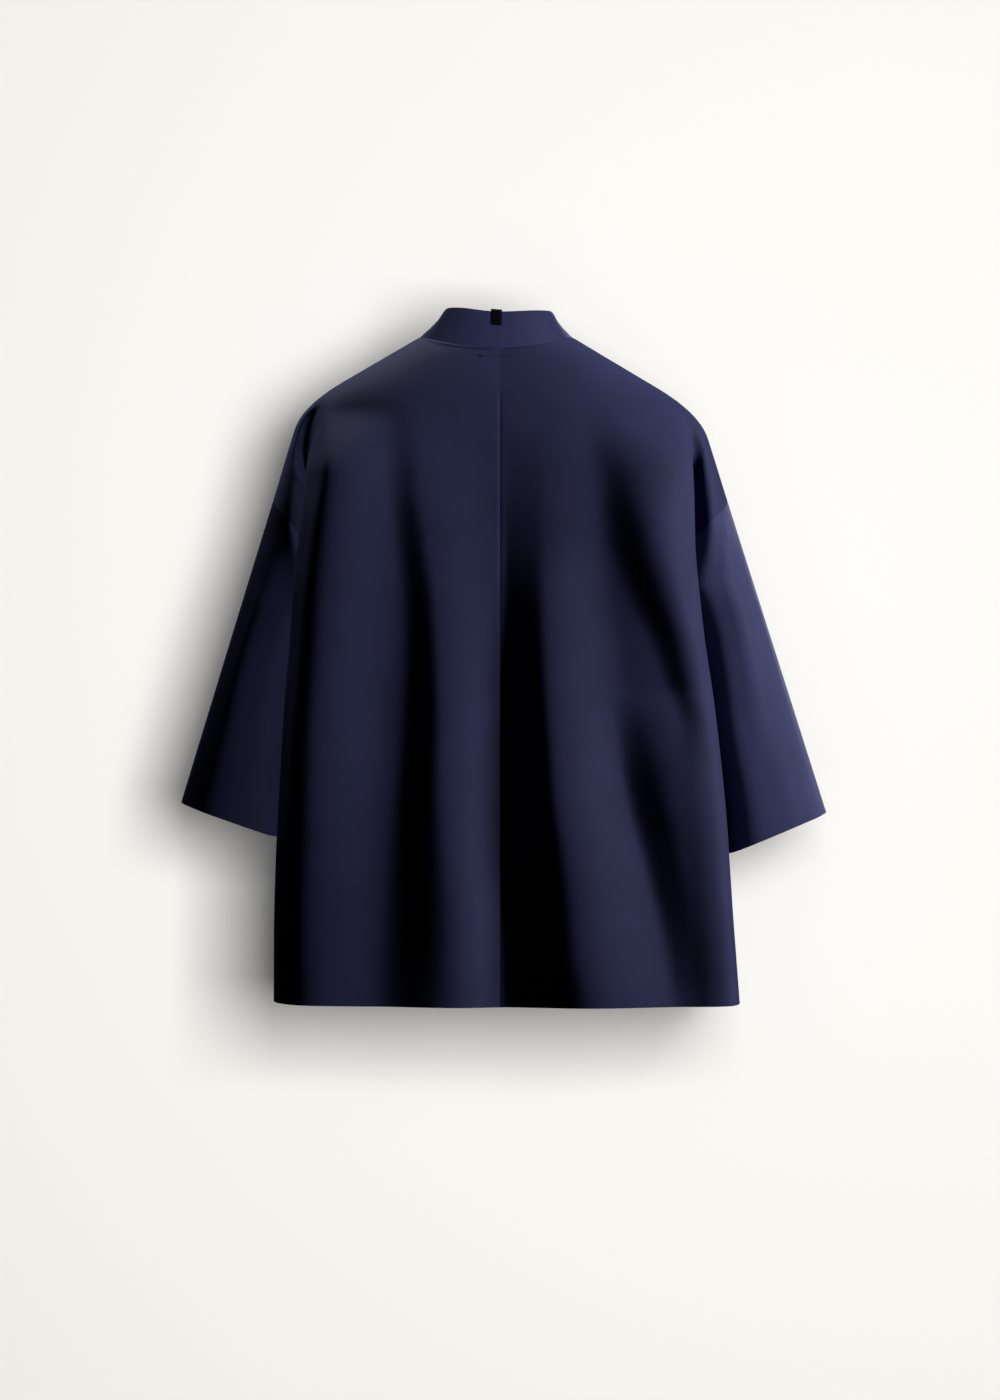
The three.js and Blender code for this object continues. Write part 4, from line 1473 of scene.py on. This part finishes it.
@dataclass
class NapeStitching:
    """The small sewn bar below the back neck seam, and the short row of stitches beside it."""

    form: JacketForm
    thread: bpy.types.Material
    name: str = "nape_stitching"
    bar_x: float = -18.0
    bar_z: float = -8.0
    bar_length: float = 6.0
    bar_radius: float = 0.9
    row_from: float = -12.5
    row_to: float = 9.0
    row_z: float = -8.5
    stitches: int = 6
    stitch_length: float = 2.6
    stitch_radius: float = 0.5
    rings: int = 8
    sides: int = 8
    blunt: float = 0.05  # least share of roundness at the ends of a run

    def surface_y(self, x: float, z: float) -> float:
        """Depth of the back's cloth at x and z."""
        side = RIGHT if x > 0 else LEFT
        return self.form.oval_y(abs(x), self.form.nape_y(z), (self.form.outline(side, z), self.form.ridge_y(z)))

    def stitch(
        self, x: float, z: float, length: float, radius: float, mesh: tuple[list[Vector], list[tuple[int, ...]]]
    ) -> None:
        """Adds one rounded run of thread that lies half sunk in the cloth.

        Args:
            x: Its middle.
            z: Its height.
            length: Its length across.
            radius: Its thickness at the middle, halved.
            mesh: The points and faces to add to.
        """
        points, faces = mesh
        first = len(points)
        for i in range(self.rings + 1):
            along = -math.cos(math.pi * i / self.rings)
            here = x + along * length / 2
            round_off = radius * math.sqrt(max(self.blunt, math.sin(math.pi * i / self.rings)))
            for k in range(self.sides):
                a = 2 * math.pi * k / self.sides
                deep, high = round_off * math.cos(a), round_off * math.sin(a)
                points.append(Vector((here, self.surface_y(here, z) + deep, z + high)))
        for i in range(self.rings):
            for k in range(self.sides):
                a, b = first + i * self.sides + k, first + i * self.sides + (k + 1) % self.sides
                faces.append((a, b, b + self.sides, a + self.sides))
        faces.append(tuple(first + k for k in reversed(range(self.sides))))
        faces.append(tuple(first + self.rings * self.sides + k for k in range(self.sides)))

    def build(self) -> bpy.types.Object:
        """Makes the bar and the stitches as one piece of thread work.

        Returns:
            The finished piece.
        """
        points: list[Vector] = []
        faces: list[tuple[int, ...]] = []
        self.stitch(self.bar_x, self.bar_z, self.bar_length, self.bar_radius, (points, faces))
        for i in range(self.stitches):
            x = mix(self.row_from, self.row_to, i / (self.stitches - 1))
            self.stitch(x, self.row_z, self.stitch_length, self.stitch_radius, (points, faces))
        mesh = bpy.data.meshes.new(self.name)
        mesh.from_pydata([tuple(p * MM) for p in points], [], faces)
        mesh.shade_smooth()
        mesh.materials.append(self.thread)
        obj = bpy.data.objects.new(self.name, mesh)
        bpy.context.scene.collection.objects.link(obj)
        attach(obj, "root")
        LOG.info("%s: %d faces", obj.name, len(mesh.polygons))
        return obj


# Studio


class Group(Enum):
    """What a light is made for, or what stands in its way."""

    JACKET = "every piece"
    BODY = "the body panels, the tab and the stitches"
    ALL_BUT_COLLARS = "every piece but the collar band"
    COLLARS = "the collar band"
    NEAR_SLEEVE = "the right sleeve"
    FAR_SLEEVE = "the left sleeve"
    FAR_BACK = "the left back panel"
    FRONTS = "the front panels and the collar band"
    FRONTS_AND_SLEEVES = "those and both sleeves"
    STAGE = "backdrop and floor"


KEY_DISTANCE = 3.0  # metres
KEY_RISE = 1.08


def around(degrees: float) -> tuple[float, float, float]:
    """A raised place some degrees to the right of the camera, from the jacket's middle."""
    a = math.radians(degrees)
    return KEY_DISTANCE * math.sin(a), -KEY_DISTANCE * math.cos(a), KEY_RISE


@dataclass(frozen=True)
class SoftLight:
    """A soft square light that looks at the jacket's middle."""

    name: str
    stands: tuple[float, float, float]  # from the jacket's middle, in metres
    size: float  # metres
    power: float  # watts
    lit: Group
    shading: Group | None = None  # what stands in its way, if not everything
    shadow: bool = True  # False for an even fill

    def build(self, middle: Vector, groups: dict[Group, list[bpy.types.Object]]) -> None:
        """Adds the light to the scene.

        Args:
            middle: The jacket's middle.
            groups: The objects of each group.
        """
        data = bpy.data.lights.new(self.name, "AREA")
        data.shape = "SQUARE"
        data.size = self.size
        data.energy = self.power
        data.use_shadow = self.shadow
        obj = bpy.data.objects.new(self.name, data)
        offset = Vector(self.stands)
        obj.location = middle + offset
        obj.rotation_euler = (-offset).to_track_quat("-Z", "Y").to_euler()
        bpy.context.scene.collection.objects.link(obj)
        linking = obj.light_linking
        linking.receiver_collection = self.gathered("lit by", groups[self.lit])
        if self.shading is not None:
            linking.blocker_collection = self.gathered("in the way of", groups[self.shading])

    def gathered(self, words: str, objects: list[bpy.types.Object]) -> bpy.types.Collection:
        """Gathers objects for the light.

        Args:
            words: What they are to it.
            objects: The objects.

        Returns:
            A collection named for both.
        """
        made = bpy.data.collections.new(f"{words} {self.name}")
        for obj in objects:
            made.objects.link(obj)
        return made


KEY_PLACE = around(73)
LIGHTS = (
    # one grazing key, whose strength and angle differ for the parts that it can't light evenly
    SoftLight("key", KEY_PLACE, 0.6, 108, Group.BODY, Group.ALL_BUT_COLLARS),
    SoftLight("key_on_near_sleeve", KEY_PLACE, 0.6, 138, Group.NEAR_SLEEVE),
    SoftLight("key_on_collar", around(48), 0.6, 100, Group.COLLARS),
    SoftLight("key_on_far_sleeve", around(62), 0.6, 38, Group.FAR_SLEEVE, Group.FAR_SLEEVE),
    SoftLight("key_on_far_shoulder", KEY_PLACE, 0.6, 30, Group.FAR_BACK, Group.FAR_SLEEVE),
    SoftLight("near_sleeve_fill", (0.9, -2.8, 0.5), 0.9, 7, Group.NEAR_SLEEVE),
    # close above the shoulders
    SoftLight("left_top_light", (-0.35, 0.3, 1.0), 0.4, 2.2, Group.FAR_BACK),
    SoftLight("top_light", (-0.2, 0.13, 1.0), 0.5, 2.6, Group.JACKET),
    # for the views from the front, which the camera doesn't take
    SoftLight("front_light", (1.5, 3.0, 1.2), 2.0, 60, Group.FRONTS_AND_SLEEVES),
    SoftLight("front_left_light", (-2.0, 3.4, 0.6), 2.0, 20, Group.FRONTS),
    SoftLight("backdrop_light", (0.62, -3.7, 0.25), 1.3, 141, Group.STAGE),
    SoftLight("backdrop_fill", (0, -3.7, 0), 3.0, 30, Group.STAGE, shadow=False),
)


@dataclass
class Studio:
    """Plain pale floor and backdrop, soft studio light, and the camera straight behind the jacket.

    Lengths are in metres.
    """

    paper: str = "#f6f5f1"
    air: str = "#f4f3ef"
    middle: Vector = field(default_factory=lambda: Vector((0, 0.06, -0.348)))
    camera_distance: float = 4.5
    frame_height: float = 1.4
    half_width: float = 4.0
    wall_y: float = 0.26
    wall_top: float = 3.0
    floor_z: float = -1.35
    floor_ends: tuple[float, float] = (-6.0, 5.0)

    def camera(self) -> None:
        """Sets the camera level with the middle of the photograph, square to the back."""
        data = bpy.data.cameras.new("camera")
        data.lens = data.sensor_width * self.camera_distance / self.frame_height
        obj = bpy.data.objects.new("camera", data)
        obj.location = self.middle - Vector((0, self.camera_distance, 0))
        obj.rotation_euler = (math.pi / 2, 0, 0)
        bpy.context.scene.collection.objects.link(obj)
        bpy.context.scene.camera = obj

    def plane(
        self, name: str, low: tuple[float, float], high: tuple[float, float], paper: StagePaper
    ) -> bpy.types.Object:
        """Adds a flat part of the stage, which casts nothing on the jacket.

        Args:
            name: Its name.
            low: Depth and height of its lower or nearer edge.
            high: Those of its other edge.
            paper: Its finish.

        Returns:
            The plane.
        """
        reach = self.half_width
        mesh = bpy.data.meshes.new(name)
        mesh.from_pydata([(-reach, *low), (reach, *low), (reach, *high), (-reach, *high)], [], [(0, 1, 2, 3)])
        mesh.materials.append(paper.build())
        obj = bpy.data.objects.new(name, mesh)
        bpy.context.scene.collection.objects.link(obj)
        obj.visible_shadow = False
        obj.visible_diffuse = False
        obj.visible_glossy = False
        return obj

    @staticmethod
    def groups(
        jacket: dict[str, bpy.types.Object], stage: list[bpy.types.Object]
    ) -> dict[Group, list[bpy.types.Object]]:
        """Sorts the objects for the lights.

        Args:
            jacket: Every piece, by the name of its node.
            stage: Backdrop and floor.

        Returns:
            The objects of each group.
        """
        near, far = jacket["sleeve_right"], jacket["sleeve_left"]
        collars = [jacket["collar_right"], jacket["collar_left"]]
        fronts = [jacket["front_right"], jacket["front_left"], *collars]
        return {
            Group.JACKET: list(jacket.values()),
            Group.BODY: [p for p in jacket.values() if p not in (near, far, *collars)],
            Group.ALL_BUT_COLLARS: [p for p in jacket.values() if p not in collars],
            Group.COLLARS: collars,
            Group.NEAR_SLEEVE: [near],
            Group.FAR_SLEEVE: [far],
            Group.FAR_BACK: [jacket["back_left"]],
            Group.FRONTS: fronts,
            Group.FRONTS_AND_SLEEVES: [*fronts, near, far],
            Group.STAGE: stage,
        }

    def build(self, jacket: dict[str, bpy.types.Object]) -> None:
        """Sets the stage, the lights and the camera round the jacket.

        Args:
            jacket: Every piece, by the name of its node.
        """
        wall_paper = StagePaper("pale_backdrop_paper", self.paper, one_sided=True)
        floor_paper = StagePaper("pale_floor_paper", self.paper)
        near, far = self.floor_ends
        wall = self.plane("backdrop", (self.wall_y, self.floor_z), (self.wall_y, self.wall_top), wall_paper)
        floor = self.plane("floor", (near, self.floor_z), (far, self.floor_z), floor_paper)
        groups = self.groups(jacket, [wall, floor])
        for light in LIGHTS:
            light.build(self.middle, groups)
        world = bpy.data.worlds.new("studio air")
        world.use_nodes = True
        world.node_tree.nodes["Background"].inputs["Color"].default_value = srgb(self.air)
        for ray in ("diffuse", "glossy", "transmission", "scatter"):
            setattr(world.cycles_visibility, ray, False)
        bpy.context.scene.world = world
        bpy.context.scene.view_settings.view_transform = "Standard"
        self.camera()


def main() -> None:
    """Builds the jacket piece by piece, then the studio round it."""
    logging.basicConfig(level=logging.INFO, format="%(name)s: %(message)s")
    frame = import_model()
    form = JacketForm()
    crepe = NavyCrepe().build()
    satin = NeckTapeSatin().build()
    makers = {"back": BodyPanel, "front": BodyPanel, "sleeve": Sleeve, "collar": CollarBand}
    pieces = [
        makers[part](form, crepe, side, part, flat, area)
        for side, cuts in ((RIGHT, RIGHT_CUT), (LEFT, LEFT_CUT))
        for part, (flat, area) in cuts.items()
    ]
    grids = [piece.cut() for piece in pieces]
    shared: dict[tuple[int, ...], Vector] = {}
    for grid in grids:
        for key, normal in grid.normals().items():
            shared[key] = shared.get(key, Vector()) + normal
    jacket = {piece.name: piece.sew(grid, shared) for piece, grid in zip(pieces, grids)}
    tab = frame["nodes"]["neck_tab"]
    tab.data.materials.clear()
    tab.data.materials.append(satin)
    jacket["neck_tab"] = tab
    jacket["nape_stitching"] = NapeStitching(form, SewingThread().build()).build()
    Studio().build(jacket)


if __name__ == "__main__":
    main()
